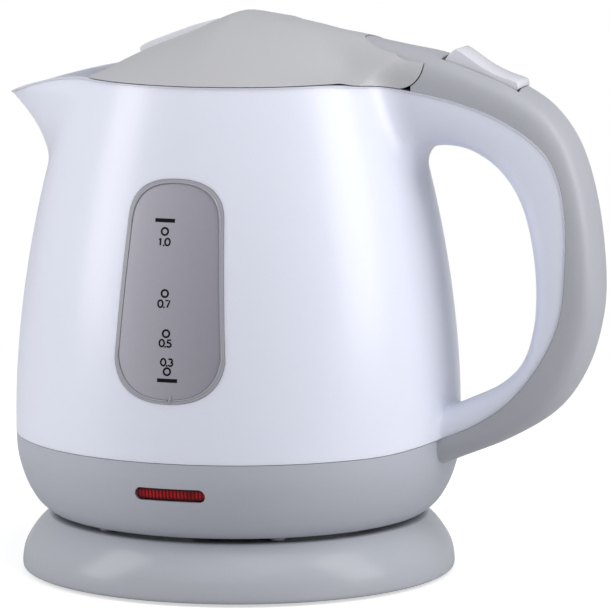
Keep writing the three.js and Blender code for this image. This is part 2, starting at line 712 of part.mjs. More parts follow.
function switchHousing() {
  const box = block([79.5, -7.5, 151.6], [97, 7.5, 155]);
  const cheeks = [-1, 1].map((side) => {
    const y = side * 8.25;
    return block([83.4, y - 0.55, 151.5], [90.6, y + 0.55, 166.4]);
  });
  const arms = block([84, -8.8, 151.5], [90, 8.8, 153.5]);
  const bore = pinAcross(1.3, ROCKER_PIVOT.toArray(), -12, 12);
  const leverBlocks = [-1, 1].map((side) => {
    const y = side * 6;
    return block([89.6, y - 1, 153], [94.4, y + 1, 158.4]);
  });
  const leverBore = pinAcross(1, LEVER_PIVOT.toArray(), -12, 12);
  return cut(join(box, ...cheeks, arms, ...leverBlocks), bore, leverBore);
}

// The lever balances on its pin: a weight at its outer end makes up for the long arm under the rocker
function tripLever() {
  const shape = outline([[80.4, 156.2], [91, 155.4], [99.1, 155.4], [99.1, 160.2], [94.8, 160.2], [94.8, 158],
    [91, 158], [80.4, 157.4]]);
  return across(shape, -4.4, 4.4).add(pinAcross(0.9, LEVER_PIVOT.toArray(), -6.9, 6.9));
}

function steamDisc() {
  return bimetalDisc().rotate([0, 90, 0]).translate([72, 0, 157]);
}

function leadPath(y) {
  return [[87, y, 150.2], [89, y, 148.4], [98, y, 145.8], [106, y, 138.2], [111.4, y, 126], [114, y, 110],
    [113.8, y, 92], [110.2, y, 76], [101.6, y, 64.2], [90, y, 57], [81, y, 53.9], [75.6, y, 51.6],
    [70.4, y, 48.4], [66.4, y, 44], [58, y, 42], [38, y, 42], [21.6, y, 42]];
}

const pieces = [];

function add(name, body, material) {
  pieces.push(mesh(name, body, material));
}

add("stand_shell", standShell(), standGrey);
add("stand_bottom_plate", standBottomPlate(), grey);
add("stand_connector", standConnector(), black);
add("stand_contact_pin", disc(1.7, 14.3, 29, 0, 0, 12), brass);
add("stand_contact_ring", ring(5.6, 6.8, 14.3, 29, 16), brass);
add("cord_gland", cordGland(), rubber);
footSpots().forEach((spot, i) => add(`stand_foot_${i + 1}`, standFoot(spot), rubber));
standScrewSpots().forEach((spot, i) => {
  add(`stand_screw_${i + 1}`, screwUp(spot, 0.4, 2.8, 1.1, 1.2, 9), steel);
});

const socketWell = disc(POST_RADIUS + 0.8, 10, 33.2, 0, 0, 28);
add("connector_socket", cut(disc(17, 19.8, 36.2, 0, 0, 28), socketWell), black);
add("jug_body", jugBody(), white);
add("lower_casing", lowerCasing(), grey);
add("jug_bottom_plate", jugBottomPlate(), grey);
add("clamp_ring", clampRing(), black);
add("element_plate", elementPlate(), steel);
add("plate_seal", ring(61.4, 67.2, 52.7, 53.7, HIDDEN_STEPS), rubber);
add("heat_spreader", disc(48, 52.7, 55.9, 0, 0, HIDDEN_STEPS), aluminium);
add("heating_element", heatingElement(), steel);
add("control_housing", controlHousing(), black);
add("boil_dry_disc", bimetalDisc().translate([0, 0, 51]), steel);
add("lamp_holder", lampHolder(), black);
add("neon_lamp", neonLamp(), glass);
add("indicator_lens", indicatorLens(), red);
add("gauge_bezel", gaugeBezel(), grey);
add("gauge_window", gaugeWindow(), smoked);
add("filter_frame", filterFrame(), grey);
add("filter_net", filterNet(), steel);
add("handle_cover", handleCover(), grey);
add("switch_housing", switchHousing(), black);
add("steam_disc", steamDisc(), steel);
add("lid_hinge_pin", pinAcross(1.3, HINGE.toArray(), -9.8, 9.8), steel);
add("rocker_pin", pinAcross(1, ROCKER_PIVOT.toArray(), -8.8, 8.8), steel);
add("rocker_button", rockerButton(), handleWhite);
add("trip_lever", tripLever(), amber);
add("lid_shell", lidShell(), grey);
add("lid_liner", lidLiner(), grey);
add("lid_tab", lidTab(), handleWhite);
lidScrewSpots.forEach((spot, i) => add(`lid_screw_${i + 1}`, lidScrew(spot), steel));
casingScrewSpots().forEach((spot, i) => {
  add(`casing_screw_${i + 1}`, screwUp(spot, 19.9, 2.8, 1.1, 1.2, 11), steel);
});
[-3, 3].forEach((y, i) => add(`switch_lead_${i + 1}`, wire(leadPath(y), 1.1), i ? red : black));

const kettle = new THREE.Group();
kettle.add(...pieces);
kettle.position.x = AXIS_X;

export default kettle;
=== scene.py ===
# Electric kettle: a white plastic jug with a grey lid, handle cover and casing, on a round grey stand.
# Lengths are in millimetres round the jug's own axis, with +X to the handle and -Y to the water gauge.
import math

import bmesh
import bpy
import numpy as np
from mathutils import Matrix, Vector


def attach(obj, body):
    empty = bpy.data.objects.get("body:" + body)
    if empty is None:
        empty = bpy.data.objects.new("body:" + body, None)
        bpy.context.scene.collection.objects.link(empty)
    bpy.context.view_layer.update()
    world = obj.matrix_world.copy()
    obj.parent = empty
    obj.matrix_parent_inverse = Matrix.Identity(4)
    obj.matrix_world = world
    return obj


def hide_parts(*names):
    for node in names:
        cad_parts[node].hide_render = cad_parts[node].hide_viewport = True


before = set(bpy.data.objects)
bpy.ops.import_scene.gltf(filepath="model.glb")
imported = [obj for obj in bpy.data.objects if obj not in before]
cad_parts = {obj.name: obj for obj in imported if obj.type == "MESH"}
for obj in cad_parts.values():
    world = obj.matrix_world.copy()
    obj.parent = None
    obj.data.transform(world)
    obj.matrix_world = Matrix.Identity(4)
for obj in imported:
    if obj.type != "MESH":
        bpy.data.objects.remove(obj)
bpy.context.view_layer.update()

# Camera. It stands 1.8 m away with a long lens, a little above the kettle and turned towards the handle.
# The kettle's axis sits left of the middle and a little high, so the camera is turned and tipped to suit.
AXIS_X = -22.8
FOCAL_PIXELS = 5369.4
FRAME_HEIGHT = 611
FRAME_MIDDLE = (305.0, 305.5)
TARGET_PIXEL = (237.93, 285.75)
SENSOR_WIDTH = 36
camera_data = bpy.data.cameras.new("camera")
camera_data.sensor_width = SENSOR_WIDTH
camera_data.lens = FOCAL_PIXELS * SENSOR_WIDTH / FRAME_HEIGHT
camera = bpy.data.objects.new("camera", camera_data)
bpy.context.scene.collection.objects.link(camera)
azimuth, elevation, distance = math.radians(19), 0.14015, 1.8
target = Vector((AXIS_X / 1000, 0, 0.095))
back = Vector((
    math.sin(azimuth) * math.cos(elevation),
    -math.cos(azimuth) * math.cos(elevation),
    math.sin(elevation),
))
camera.location = target + distance * back
turn = math.atan((FRAME_MIDDLE[0] - TARGET_PIXEL[0]) / FOCAL_PIXELS)
tip = elevation - math.atan((TARGET_PIXEL[1] - FRAME_MIDDLE[1]) / FOCAL_PIXELS)
camera.rotation_euler = (math.pi / 2 - tip, 0, azimuth - turn)
bpy.context.scene.camera = camera

# Floor. A wide pale paper sheet, seen as white away from the kettle and with its soft shadow close to it.
# Only camera and transmitted rays see the white; all others meet a plain pale surface.
FLOOR_SIZE = 12
bpy.ops.mesh.primitive_plane_add(size=FLOOR_SIZE, location=(0, 0, -0.0004))
floor = bpy.context.object
floor.name = "floor"
paper = bpy.data.materials.new("white_paper")
paper.use_nodes = True
tree = paper.node_tree
tree.nodes.clear()
result = tree.nodes.new("ShaderNodeOutputMaterial")
matt = tree.nodes.new("ShaderNodeBsdfDiffuse")
matt.inputs["Color"].default_value = (0.6, 0.6, 0.6, 1)
bright = tree.nodes.new("ShaderNodeEmission")
bright.inputs["Color"].default_value = (1, 1, 1, 1)
lifted = tree.nodes.new("ShaderNodeEmission")
lifted.inputs["Strength"].default_value = 0.6
shaded = tree.nodes.new("ShaderNodeAddShader")
tree.links.new(matt.outputs[0], shaded.inputs[0])
tree.links.new(lifted.outputs[0], shaded.inputs[1])
place = tree.nodes.new("ShaderNodeTexCoord")
reach = tree.nodes.new("ShaderNodeVectorMath")
reach.operation = "LENGTH"
tree.links.new(place.outputs["Object"], reach.inputs[0])
fade = tree.nodes.new("ShaderNodeMapRange")
fade.interpolation_type = "SMOOTHSTEP"
fade.inputs["From Min"].default_value = 0.14
fade.inputs["From Max"].default_value = 0.5
tree.links.new(reach.outputs["Value"], fade.inputs["Value"])
seen = tree.nodes.new("ShaderNodeMixShader")
tree.links.new(fade.outputs[0], seen.inputs["Fac"])
tree.links.new(shaded.outputs[0], seen.inputs[1])
tree.links.new(bright.outputs[0], seen.inputs[2])
rays = tree.nodes.new("ShaderNodeLightPath")
first = tree.nodes.new("ShaderNodeMath")
first.operation = "MAXIMUM"
tree.links.new(rays.outputs["Is Camera Ray"], first.inputs[0])
tree.links.new(rays.outputs["Is Transmission Ray"], first.inputs[1])
pick = tree.nodes.new("ShaderNodeMixShader")
tree.links.new(first.outputs[0], pick.inputs["Fac"])
tree.links.new(matt.outputs[0], pick.inputs[1])
tree.links.new(seen.outputs[0], pick.inputs[2])
tree.links.new(pick.outputs[0], result.inputs["Surface"])
floor.data.materials.append(paper)

# Studio light. A pale surround, a tall soft panel at each side, and a wide one above at the front right.
# The tall panels draw long soft bands in the glossy plastic.
world = bpy.data.worlds.new("surround")
bpy.context.scene.world = world
world.use_nodes = True
sky = world.node_tree
sky.nodes.clear()
dim = sky.nodes.new("ShaderNodeBackground")
dim.inputs["Color"].default_value = (0.96, 0.97, 1, 1)
dim.inputs["Strength"].default_value = 0.45
white = sky.nodes.new("ShaderNodeBackground")
white.inputs["Strength"].default_value = 1
sky_rays = sky.nodes.new("ShaderNodeLightPath")
sky_pick = sky.nodes.new("ShaderNodeMixShader")
sky_out = sky.nodes.new("ShaderNodeOutputWorld")
sky.links.new(sky_rays.outputs["Is Camera Ray"], sky_pick.inputs["Fac"])
sky.links.new(dim.outputs[0], sky_pick.inputs[1])
sky.links.new(white.outputs[0], sky_pick.inputs[2])
sky.links.new(sky_pick.outputs[0], sky_out.inputs["Surface"])
PANELS = {
    "right": dict(turn=88, rise=25, size=(0.5, 1.0), power=6.9),
    "left": dict(turn=-60, rise=25, size=(0.45, 1.0), power=6.3),
    "above": dict(turn=58, rise=60, size=(0.9, 0.7), power=3.2),
}
PANEL_DISTANCE = 1.1
for name, panel in PANELS.items():
    data = bpy.data.lights.new(name, "AREA")
    data.shape = "RECTANGLE"
    data.size, data.size_y = panel["size"]
    data.energy = panel["power"]
    lamp = bpy.data.objects.new(name, data)
    bpy.context.scene.collection.objects.link(lamp)
    a, e = math.radians(panel["turn"]), math.radians(panel["rise"])
    out = Vector((math.sin(a) * math.cos(e), -math.cos(a) * math.cos(e), math.sin(e)))
    lamp.location = target + PANEL_DISTANCE * out
    lamp.rotation_euler = out.to_track_quat("Z", "Y").to_euler()
bpy.context.scene.view_settings.view_transform = "Standard"

# Jug moulding. One glossy white plastic piece: the belly, the spout and the inner half of the loop handle.
# Its skin follows how far each point lies outside the belly or the handle, eased together where they meet.
# The mouth, the chamber, the window's opening and the handle's parting are then cut from it.
WALL = 2.6
CHAMBER_FLOOR = 57
BELLY_RADIUS = 74.7
BELLY_DRAWN_IN = 11.4
SPOUT_START = 132
SPOUT_RISE = 26.1
RIM_HEIGHT = 167.1


def body_radius(z):
    return BELLY_RADIUS - BELLY_DRAWN_IN * (np.maximum(0, z - 52) / 85.4) ** 1.9


def body_reach(angle, z):
    # The plan is a circle with a beak that grows above the neck; the angle is measured from the spout
    radius = body_radius(z)
    up = np.maximum(0, z - SPOUT_START) / SPOUT_RISE
    reach = 66 + 14.8 * np.minimum(up, 1.1) ** 2
    blunt = 18 - 14.5 * np.minimum(up, 1)
    centre = reach - blunt
    lean = np.arccos(np.clip((radius - blunt) / centre, -1, 1))
    start = np.arctan2(blunt * np.sin(lean), centre + blunt * np.cos(lean))
    straight = radius / np.cos(np.clip(lean - angle, -1.4, 1.4))
    tip = centre * np.cos(angle) + np.sqrt(np.maximum(0, blunt**2 - (centre * np.sin(angle)) ** 2))
    beak = np.where(angle >= start, straight, tip)
    return np.where((reach > radius) & (angle < lean), beak, radius)


def rim_height(x):
    # The rim falls to the spout's tip and, more gently, to the handle
    to_spout = np.maximum(0, -x - 42) / 39
    to_handle = np.minimum(np.maximum(0, x - 38) / 22.5, 1.4)
    return RIM_HEIGHT - 9 * to_spout**1.6 - 3 * to_handle**1.6


def belly_field(x, y, z):
    # How far a point lies outside the belly and spout
    angle = np.arctan2(np.abs(y), -x)
    return np.hypot(x, y) - body_reach(angle, np.minimum(z, RIM_HEIGHT))


def curve_through(points, count):
    # A smooth line through the given points, with the same share of the count between each two
    p = np.array(points, float)
    p = np.vstack([p[0], p, p[-1]])
    place = np.linspace(0, len(points) - 1, count)
    i = np.minimum(place.astype(int), len(points) - 2)
    t = (place - i)[:, None]
    a, b, c, d = p[i], p[i + 1], p[i + 2], p[i + 3]
    v0, v1 = (c - a) / 2, (d - b) / 2
    return (2 * b - 2 * c + v0 + v1) * t**3 + (-3 * b + 3 * c - 2 * v0 - v1) * t**2 + v0 * t + b


HANDLE_OUTER = [
    (20, 184.6), (31, 182.8), (43, 180.9), (58, 178.2), (72, 175.7), (86, 171.1), (98.5, 165.9),
    (109.6, 158.3), (118.3, 145.5), (123.9, 126), (126.4, 103), (125.1, 87), (120.1, 71.5), (111, 58.5),
    (96.5, 49), (78, 41), (62, 34), (46, 27),
]
HANDLE_GRIP = [
    (20, 136), (32, 134), (44, 136), (58, 139.5), (69, 144.8), (79, 145), (87.5, 141.6),
    (94.5, 135.6), (99.8, 127), (103.2, 115.5), (105, 101), (104.4, 87), (100.7, 75), (92.5, 66.8),
    (81, 61), (70, 56.5), (60, 54), (46, 50),
]
HANDLE_HALF_WIDTH = 13
HANDLE_SQUARENESS = 3.1
outer_line = curve_through(HANDLE_OUTER, 240)
grip_line = curve_through(HANDLE_GRIP, 240)


def side_distance(x, z, line):
    # Signed distance to a line in the side view, positive to its left
    best = np.full(x.shape, 1e9)
    signed = np.zeros(x.shape)
    for (x0, z0), (x1, z1) in zip(line[:-1], line[1:]):
        dx, dz = x1 - x0, z1 - z0
        t = np.clip(((x - x0) * dx + (z - z0) * dz) / (dx * dx + dz * dz), 0, 1)
        px, pz = x - x0 - t * dx, z - z0 - t * dz
        away = px * px + pz * pz
        nearer = away < best
        best = np.where(nearer, away, best)
        signed = np.where(nearer, dx * pz - dz * px, signed)
    return np.sign(signed) * np.sqrt(best)


def bar_depths(x, z):
    # How far a point lies within the handle's outer line, and within its grip line
    if x.ndim == 3:
        flat_x, flat_z = x[:, 0, :], z[:, 0, :]
        outside = -side_distance(flat_x, flat_z, outer_line)[:, None, :]
        return outside, side_distance(flat_x, flat_z, grip_line)[:, None, :]
    return -side_distance(x, z, outer_line), side_distance(x, z, grip_line)


def bar_field(y, outside, inside):
    # How far a point lies outside the handle's rounded section
    depth = np.maximum(4, (outside + inside) / 2)
    u = np.abs((inside - outside) / (2 * depth))
    v = np.abs(y) / HANDLE_HALF_WIDTH
    n = HANDLE_SQUARENESS
    return ((u**n + v**n) ** (1 / n) - 1) * np.minimum(depth, HANDLE_HALF_WIDTH)


def eased_join(a, b, width):
    # Two forms as one, with a rounded hollow where they meet
    near = np.maximum(0, width - np.abs(a - b)) / width
    return np.minimum(a, b) - near * near * width / 4


SMOOTHING_ROUNDS = 3


def skin_of(field, low, high, step):
    # A closed net of four-sided faces on the surface where the field is zero
    axes = [np.arange(low[k], high[k] + step, step) for k in range(3)]
    value = field(*np.meshgrid(*axes, indexing="ij"))
    cells = tuple(n - 1 for n in value.shape)
    total, crossings = np.zeros(cells + (3,)), np.zeros(cells)
    base = np.stack(np.meshgrid(*[a[:-1] for a in axes], indexing="ij"), -1)

    def corner(i, j, k):
        return value[i:i + cells[0], j:j + cells[1], k:k + cells[2]]

    for axis in range(3):
        for p in (0, 1):
            for q in (0, 1):
                start, end = [p, q], [p, q]
                start.insert(axis, 0)
                end.insert(axis, 1)
                a, b = corner(*start), corner(*end)
                crosses = (a < 0) != (b < 0)
                share = np.where(crosses, a / np.where(a == b, 1, a - b), 0)
                for k in range(3):
                    spot = base[..., k] + step * (share if k == axis else start[k])
                    total[..., k] += np.where(crosses, spot, 0)
                crossings += crosses
    used = crossings > 0
    number = np.full(cells, -1)
    number[used] = np.arange(used.sum())
    points = total[used] / crossings[used][:, None]
    faces = []
    for axis in range(3):
        i, j = [k for k in range(3) if k != axis]
        below = value < 0
        a = np.take(below, range(value.shape[axis] - 1), axis)
        b = np.take(below, range(1, value.shape[axis]), axis)
        spot = np.argwhere(a != b)
        inner = (spot[:, i] > 0) & (spot[:, j] > 0) & (spot[:, i] < cells[i]) & (spot[:, j] < cells[j])
        spot = spot[inner]
        di, dj = np.eye(3, dtype=int)[i], np.eye(3, dtype=int)[j]
        quad = np.stack([number[tuple((spot - s).T)] for s in (0 * di, di, di + dj, dj)], 1)
        flip = a[tuple(spot.T)] == (axis == 1)
        quad[flip] = quad[flip][:, ::-1]
        faces.append(quad)
    faces = np.vstack(faces)
    edges = np.vstack([faces[:, [k, (k + 1) % 4]] for k in range(4)])
    for smoothing in range(SMOOTHING_ROUNDS + 1):
        if smoothing:
            pulled, weight = np.zeros_like(points), np.zeros(len(points))
            for one, other in (edges.T, edges.T[::-1]):
                np.add.at(pulled, one, points[other])
                np.add.at(weight, one, 1)
            points = points * 0.4 + 0.6 * pulled / weight[:, None]
        for _ in range(2):
            here = field(*points.T)
            slope = np.stack([
                (field(*(points + d).T) - field(*(points - d).T)) / 0.04 for d in np.eye(3) * 0.02
            ], 1)
            move = here[:, None] * slope / np.maximum(0.2, (slope**2).sum(1))[:, None]
            points = points - np.clip(move, -step, step)
    return points, faces


def new_piece(name, points, faces):
    # A mesh object in the frame's metres, from points in millimetres round the jug's axis
    mesh = bpy.data.meshes.new(name)
    metres = (np.asarray(points, float) + (AXIS_X, 0, 0)) / 1000
    mesh.from_pydata(metres.tolist(), [], [list(map(int, f)) for f in faces])
    mesh.validate()
    piece = bpy.data.objects.new(name, mesh)
    bpy.context.scene.collection.objects.link(piece)
    return piece


def box_of(mesh):
    # The lowest and highest corner of a mesh
    corners = np.empty(len(mesh.vertices) * 3)
    mesh.vertices.foreach_get("co", corners)
    corners = corners.reshape(-1, 3)
    return corners.min(0), corners.max(0)


def worked_mesh(piece):
    # The piece's mesh as its modifiers leave it
    graph = bpy.context.evaluated_depsgraph_get()
    return bpy.data.meshes.new_from_object(piece.evaluated_get(graph))


def swap_mesh(piece, mesh):
    # Gives the piece its worked mesh and drops the old one with its modifiers
    piece.modifiers.clear()
    old, piece.data = piece.data, mesh
    bpy.data.meshes.remove(old)


CUT_TRIES = 6
BOX_SLACK = 1e-4


def carve(piece, tool, operation="DIFFERENCE"):
    # Cuts the tool from the piece, keeps what both share or joins them, and takes the tool away.
    # A cut that reaches outside its box has gone wrong, and is made again with the tool a hair to one side.
    step = piece.modifiers.new("cut", "BOOLEAN")
    step.solver, step.operation, step.object = "EXACT", operation, tool
    low, high = box_of(piece.data)
    if operation == "UNION":
        tool_low, tool_high = box_of(tool.data)
        low, high = np.minimum(low, tool_low), np.maximum(high, tool_high)
    for shift in range(CUT_TRIES):
        tool.location = (shift * 1.3e-5, shift * 0.7e-5, shift * -1.1e-5)
        cut_mesh = worked_mesh(piece)
        made_low, made_high = box_of(cut_mesh)
        if (made_low > low - BOX_SLACK).all() and (made_high < high + BOX_SLACK).all():
            break
    swap_mesh(piece, cut_mesh)
    cut_mesh.name = piece.name
    bpy.data.objects.remove(tool)
    return piece


SHARP_ANGLE = math.radians(38)


def soften(piece, bevel=0.0, segments=2):
    # Rounds the hard edges if asked, and shades the rest smoothly
    if bevel:
        step = piece.modifiers.new("edges", "BEVEL")
        step.width, step.segments, step.limit_method = bevel / 1000, segments, "ANGLE"
        step.angle_limit = SHARP_ANGLE
        swap_mesh(piece, worked_mesh(piece))
    piece.data.shade_smooth()
    piece.data.set_sharp_from_angle(angle=SHARP_ANGLE)
    return piece


def prism(name, outline, y0, y1):
    # A side outline in x and z, carried across from y0 to y1
    n = len(outline)
    points = [(x, y0, z) for x, z in outline] + [(x, y1, z) for x, z in outline]
    sides = [(i, (i + 1) % n, (i + 1) % n + n, i + n) for i in range(n)]
    piece = new_piece(name, points, [list(range(n))[::-1], list(range(n, 2 * n))] + sides)
    return outward(piece)


def outward(piece):
    # Turns every face to point out of the closed piece
    work = bmesh.new()
    work.from_mesh(piece.data)
    bmesh.ops.recalc_face_normals(work, faces=work.faces)
    work.to_mesh(piece.data)
    work.free()
    return piece


def stack(name, rings):
    # A closed form through rings of the same number of points, from the lowest ring to the highest
    rings = np.asarray(rings, float)
    levels, count = rings.shape[:2]
    points = np.vstack([rings.reshape(-1, 3), rings[0].mean(0), rings[-1].mean(0)])
    faces = []
    for level in range(levels - 1):
        for i in range(count):
            j = (i + 1) % count
            here, above = level * count, (level + 1) * count
            faces.append((here + i, here + j, above + j, above + i))
    top = (levels - 1) * count
    for i in range(count):
        j = (i + 1) % count
        faces.append((levels * count, j, i))
        faces.append((levels * count + 1, top + i, top + j))
    return outward(new_piece(name, points, faces))


def body_rings(offset, heights, count):
    # Rings of the belly's plan, closest together at the spout, and moved in or out square to the plan
    angles = np.linspace(-math.pi, math.pi, count, endpoint=False)
    angles = angles - 0.6 * np.sin(angles)
    rings = []
    for z in heights:
        reach = body_reach(np.abs(angles), np.full(count, min(z, RIM_HEIGHT)))
        plan = np.stack([-reach * np.cos(angles), reach * np.sin(angles)], 1)
        ahead = np.roll(plan, -1, axis=0) - np.roll(plan, 1, axis=0)
        out = ahead[:, ::-1] * (-1, 1) / np.linalg.norm(ahead, axis=1)[:, None]
        rings.append(np.column_stack([plan + out * offset, np.full(count, float(z))]))
    return rings


PARTING = [
    (44, 166.65), (50, 165.8), (56, 164.95), (62, 164), (77, 161.3), (92, 156.5), (104.2, 149.6),
    (111.8, 141.5), (116, 128), (116.7, 110), (115, 91), (108.6, 76), (98, 62.5), (86, 54), (75, 49.2),
]
RIM_END = 42
SEAM_HEIGHT = 46.9
parting_line = curve_through(PARTING, 160)


def seam_rise(x):
    # The seam with the casing lifts towards the handle's foot
    return 2 * np.maximum(0, (x - 60) / 15) ** 2


def jug_side_outline():
    # The moulding's outline from the side: rim, parting line of the handle, and seam with the casing
    rim = [(x, float(rim_height(x))) for x in np.linspace(-95, RIM_END, 110)]
    seam = [(x, SEAM_HEIGHT + seam_rise(x)) for x in np.linspace(73.5, 58, 10)]
    return rim + [tuple(p) for p in parting_line] + seam + [(-95, SEAM_HEIGHT)]


def jug_field(x, y, z):
    bar = np.maximum(bar_field(y, *bar_depths(x, z)), 32 - x)
    both = eased_join(belly_field(x, y, z), bar, np.interp(z, (62, 95), (2.5, 9)))
    return np.maximum(both, np.maximum(40 - z, z - 174))


moulding = new_piece("jug_moulding", *skin_of(jug_field, (-86, -78, 37), (122, 78, 177), 1.9))
carve(moulding, prism("side", jug_side_outline(), -90, 90), "INTERSECT")
chamber = stack("chamber", body_rings(-WALL, np.linspace(CHAMBER_FLOOR, 176, 60), 180))
carve(moulding, chamber)


def circle(radius, z, count=128, x=0.0, y=0.0):
    a = np.linspace(0, 2 * math.pi, count, endpoint=False)
    return np.stack([x + radius * np.cos(a), y + radius * np.sin(a), np.full(count, float(z))], 1)


carve(moulding, stack("heater_hole", [circle(61, 30), circle(61, CHAMBER_FLOOR + 1)]))


def gauge_outline(grow):
    # The window's outline on the belly: a tall rounded form, a little wider low down
    low, high, wide, narrow = 66.3 - grow, 138.3 + grow, 19 + grow, 16.2 + grow

    def bend(a, b, c, count=14):
        t = np.linspace(0, 1, count, endpoint=False)[:, None]
        return (1 - t) ** 2 * np.array(a) + 2 * t * (1 - t) * np.array(b) + t * t * np.array(c)

    half = np.vstack([
        bend((0, low), (wide - 0.5, low), (wide, low + 16)),
        bend((narrow, high - 13), (narrow - 0.5, high), (0, high)),
        [(0, high)],
    ])
    mirrored = half[-2:0:-1] * (-1, 1)
    return np.vstack([half, mirrored]) + (0.8, 0)


carve(moulding, prism("gauge_hole", gauge_outline(0.1), -90, -45))
LIP_RADIUS = 0.45
LIP_DEPTH = 0.35
SPOUT_TIP = -80.6


def lip_line():
    # The outer edge of the rim and of the handle's parting, a little inside both surfaces
    along_rim = RIM_END - (RIM_END - SPOUT_TIP) * np.sin(np.linspace(0, math.pi / 2, 90))
    rim = [(x, float(rim_height(x)) - LIP_DEPTH) for x in along_rim]
    parting = curve_through(PARTING, 90)
    along = np.gradient(parting, axis=0)
    along /= np.linalg.norm(along, axis=1)[:, None]
    handle = parting + along[:, ::-1] * (1, -1) * LIP_DEPTH
    side = np.vstack([handle[::-1], rim])
    x, z = side.T
    near, far = np.zeros(len(x)), np.full(len(x), 80.0)
    for _ in range(40):
        y = (near + far) / 2
        inside = jug_field(x, y, z) < -LIP_DEPTH
        near, far = np.where(inside, y, near), np.where(inside, far, y)
    half = np.stack([x, -near, z], 1)[near > 0.3]
    tip = half[-1] * (1, 0, 1) - (0.2, 0, 0.05)
    return np.vstack([half, [tip], half[::-1] * (1, -1, 1)])


def tube(name, line, radius, sides=8):
    # A closed round bead along a line
    line = line[np.r_[True, np.linalg.norm(np.diff(line, axis=0), axis=1) > 0.05]]
    ahead = np.gradient(line, axis=0)
    ahead /= np.linalg.norm(ahead, axis=1)[:, None]
    across = np.cross(ahead, (0, 0, 1))
    across /= np.linalg.norm(across, axis=1)[:, None]
    third = np.cross(across, ahead)
    turns = np.linspace(0, 2 * math.pi, sides, endpoint=False)
    rings = [
        middle + radius * (np.cos(turns)[:, None] * a + np.sin(turns)[:, None] * b)
        for middle, a, b in zip(line, across, third)
    ]
    return stack(name, rings)


def merge(piece, other):
    # Joins another closed form into the same mesh
    work = bmesh.new()
    work.from_mesh(piece.data)
    work.from_mesh(other.data)
    work.to_mesh(piece.data)
    work.free()
    bpy.data.objects.remove(other)


merge(moulding, tube("lip", lip_line(), LIP_RADIUS))
soften(moulding)


def uneven_group(name, amounts, noise_scale, noise_detail, stretch=None):
    # A surface whose tone and roughness one noise varies; returns the group, its ends and the noise
    group = bpy.data.node_groups.new(name, "ShaderNodeTree")
    face = group.interface
    for label, kind, value in (("Color", "NodeSocketColor", (0.8, 0.8, 0.8, 1)), *amounts):
        face.new_socket(label, in_out="INPUT", socket_type=kind).default_value = value
    for label, kind in (("Color", "Color"), ("Roughness", "Float"), ("Normal", "Vector")):
        face.new_socket(label, in_out="OUTPUT", socket_type="NodeSocket" + kind)
    nodes, links = group.nodes, group.links
    given, out = nodes.new("NodeGroupInput"), nodes.new("NodeGroupOutput")
    where = nodes.new("ShaderNodeTexCoord").outputs["Object"]
    if stretch:
        mapping = nodes.new("ShaderNodeMapping")
        mapping.inputs["Scale"].default_value = stretch
        links.new(where, mapping.inputs["Vector"])
        where = mapping.outputs[0]
    noise = nodes.new("ShaderNodeTexNoise")
    noise.inputs["Scale"].default_value = noise_scale
    noise.inputs["Detail"].default_value = noise_detail
    links.new(where, noise.inputs["Vector"])
    shift = nodes.new("ShaderNodeMath")
    shift.operation = "SUBTRACT"
    links.new(noise.outputs["Fac"], shift.inputs[0])
    shift.inputs[1].default_value = 0.5
    much = nodes.new("ShaderNodeMath")
    much.operation = "MULTIPLY_ADD"
    links.new(shift.outputs[0], much.inputs[0])
    links.new(given.outputs[amounts[0][0]], much.inputs[1])
    much.inputs[2].default_value = 1
    tone = nodes.new("ShaderNodeVectorMath")
    tone.operation = "SCALE"
    links.new(given.outputs["Color"], tone.inputs[0])
    links.new(much.outputs[0], tone.inputs["Scale"])
    links.new(tone.outputs[0], out.inputs["Color"])
    dull = nodes.new("ShaderNodeMath")
    dull.operation = "MULTIPLY"
    links.new(given.outputs["Roughness"], dull.inputs[0])
    links.new(much.outputs[0], dull.inputs[1])
    links.new(dull.outputs[0], out.inputs["Roughness"])
    return group, given, out, noise


def relief(group, given, out, amount, height, distance):
    # Adds a fine relief to the group's normal, as strong as one of its amounts says
    bump = group.nodes.new("ShaderNodeBump")
    bump.inputs["Distance"].default_value = distance
    group.links.new(given.outputs[amount], bump.inputs["Strength"])
    group.links.new(height, bump.inputs["Height"])
    group.links.new(bump.outputs[0], out.inputs["Normal"])


def mould_grain_group():
    # Moulded plastic: faint cloudy tone, and the fine pitting of the mould's surface
    amounts = (
        ("Cloud", "NodeSocketFloat", 0.03),
        ("Roughness", "NodeSocketFloat", 0.3),
        ("Pitting", "NodeSocketFloat", 0.05),
    )
    group, given, out, cloud = uneven_group("mould_grain", amounts, 24, 3)
    pits = group.nodes.new("ShaderNodeTexNoise")
    pits.inputs["Scale"].default_value = 1400
    pits.inputs["Detail"].default_value = 2
    group.links.new(cloud.inputs["Vector"].links[0].from_socket, pits.inputs["Vector"])
    relief(group, given, out, "Pitting", pits.outputs["Fac"], 0.0002)
    return group


mould_grain = mould_grain_group()


def rgb(*seen):
    # A colour seen on the object, from 0 to 255, as the shader's linear values
    linear = [v / 255 / 12.92 if v < 10.3 else ((v / 255 + 0.055) / 1.055) ** 2.4 for v in seen]
    return (*linear, 1)


def surfaced(name, group, **amounts):
    # A material whose colour, roughness and normal come from a surface group with its own amounts
    material = bpy.data.materials.new(name)
    material.use_nodes = True
    surface = material.node_tree.nodes.new("ShaderNodeGroup")
    surface.node_tree = group
    for label, amount in amounts.items():
        surface.inputs[label].default_value = amount
    shader = material.node_tree.nodes["Principled BSDF"]
    for label, socket in (("Color", "Base Color"), ("Roughness", "Roughness"), ("Normal", "Normal")):
        material.node_tree.links.new(surface.outputs[label], shader.inputs[socket])
    return material


def plastic(name, colour, roughness, cloud=0.03, pitting=0.05):
    return surfaced(name, mould_grain, Color=colour, Cloud=cloud, Roughness=roughness, Pitting=pitting)


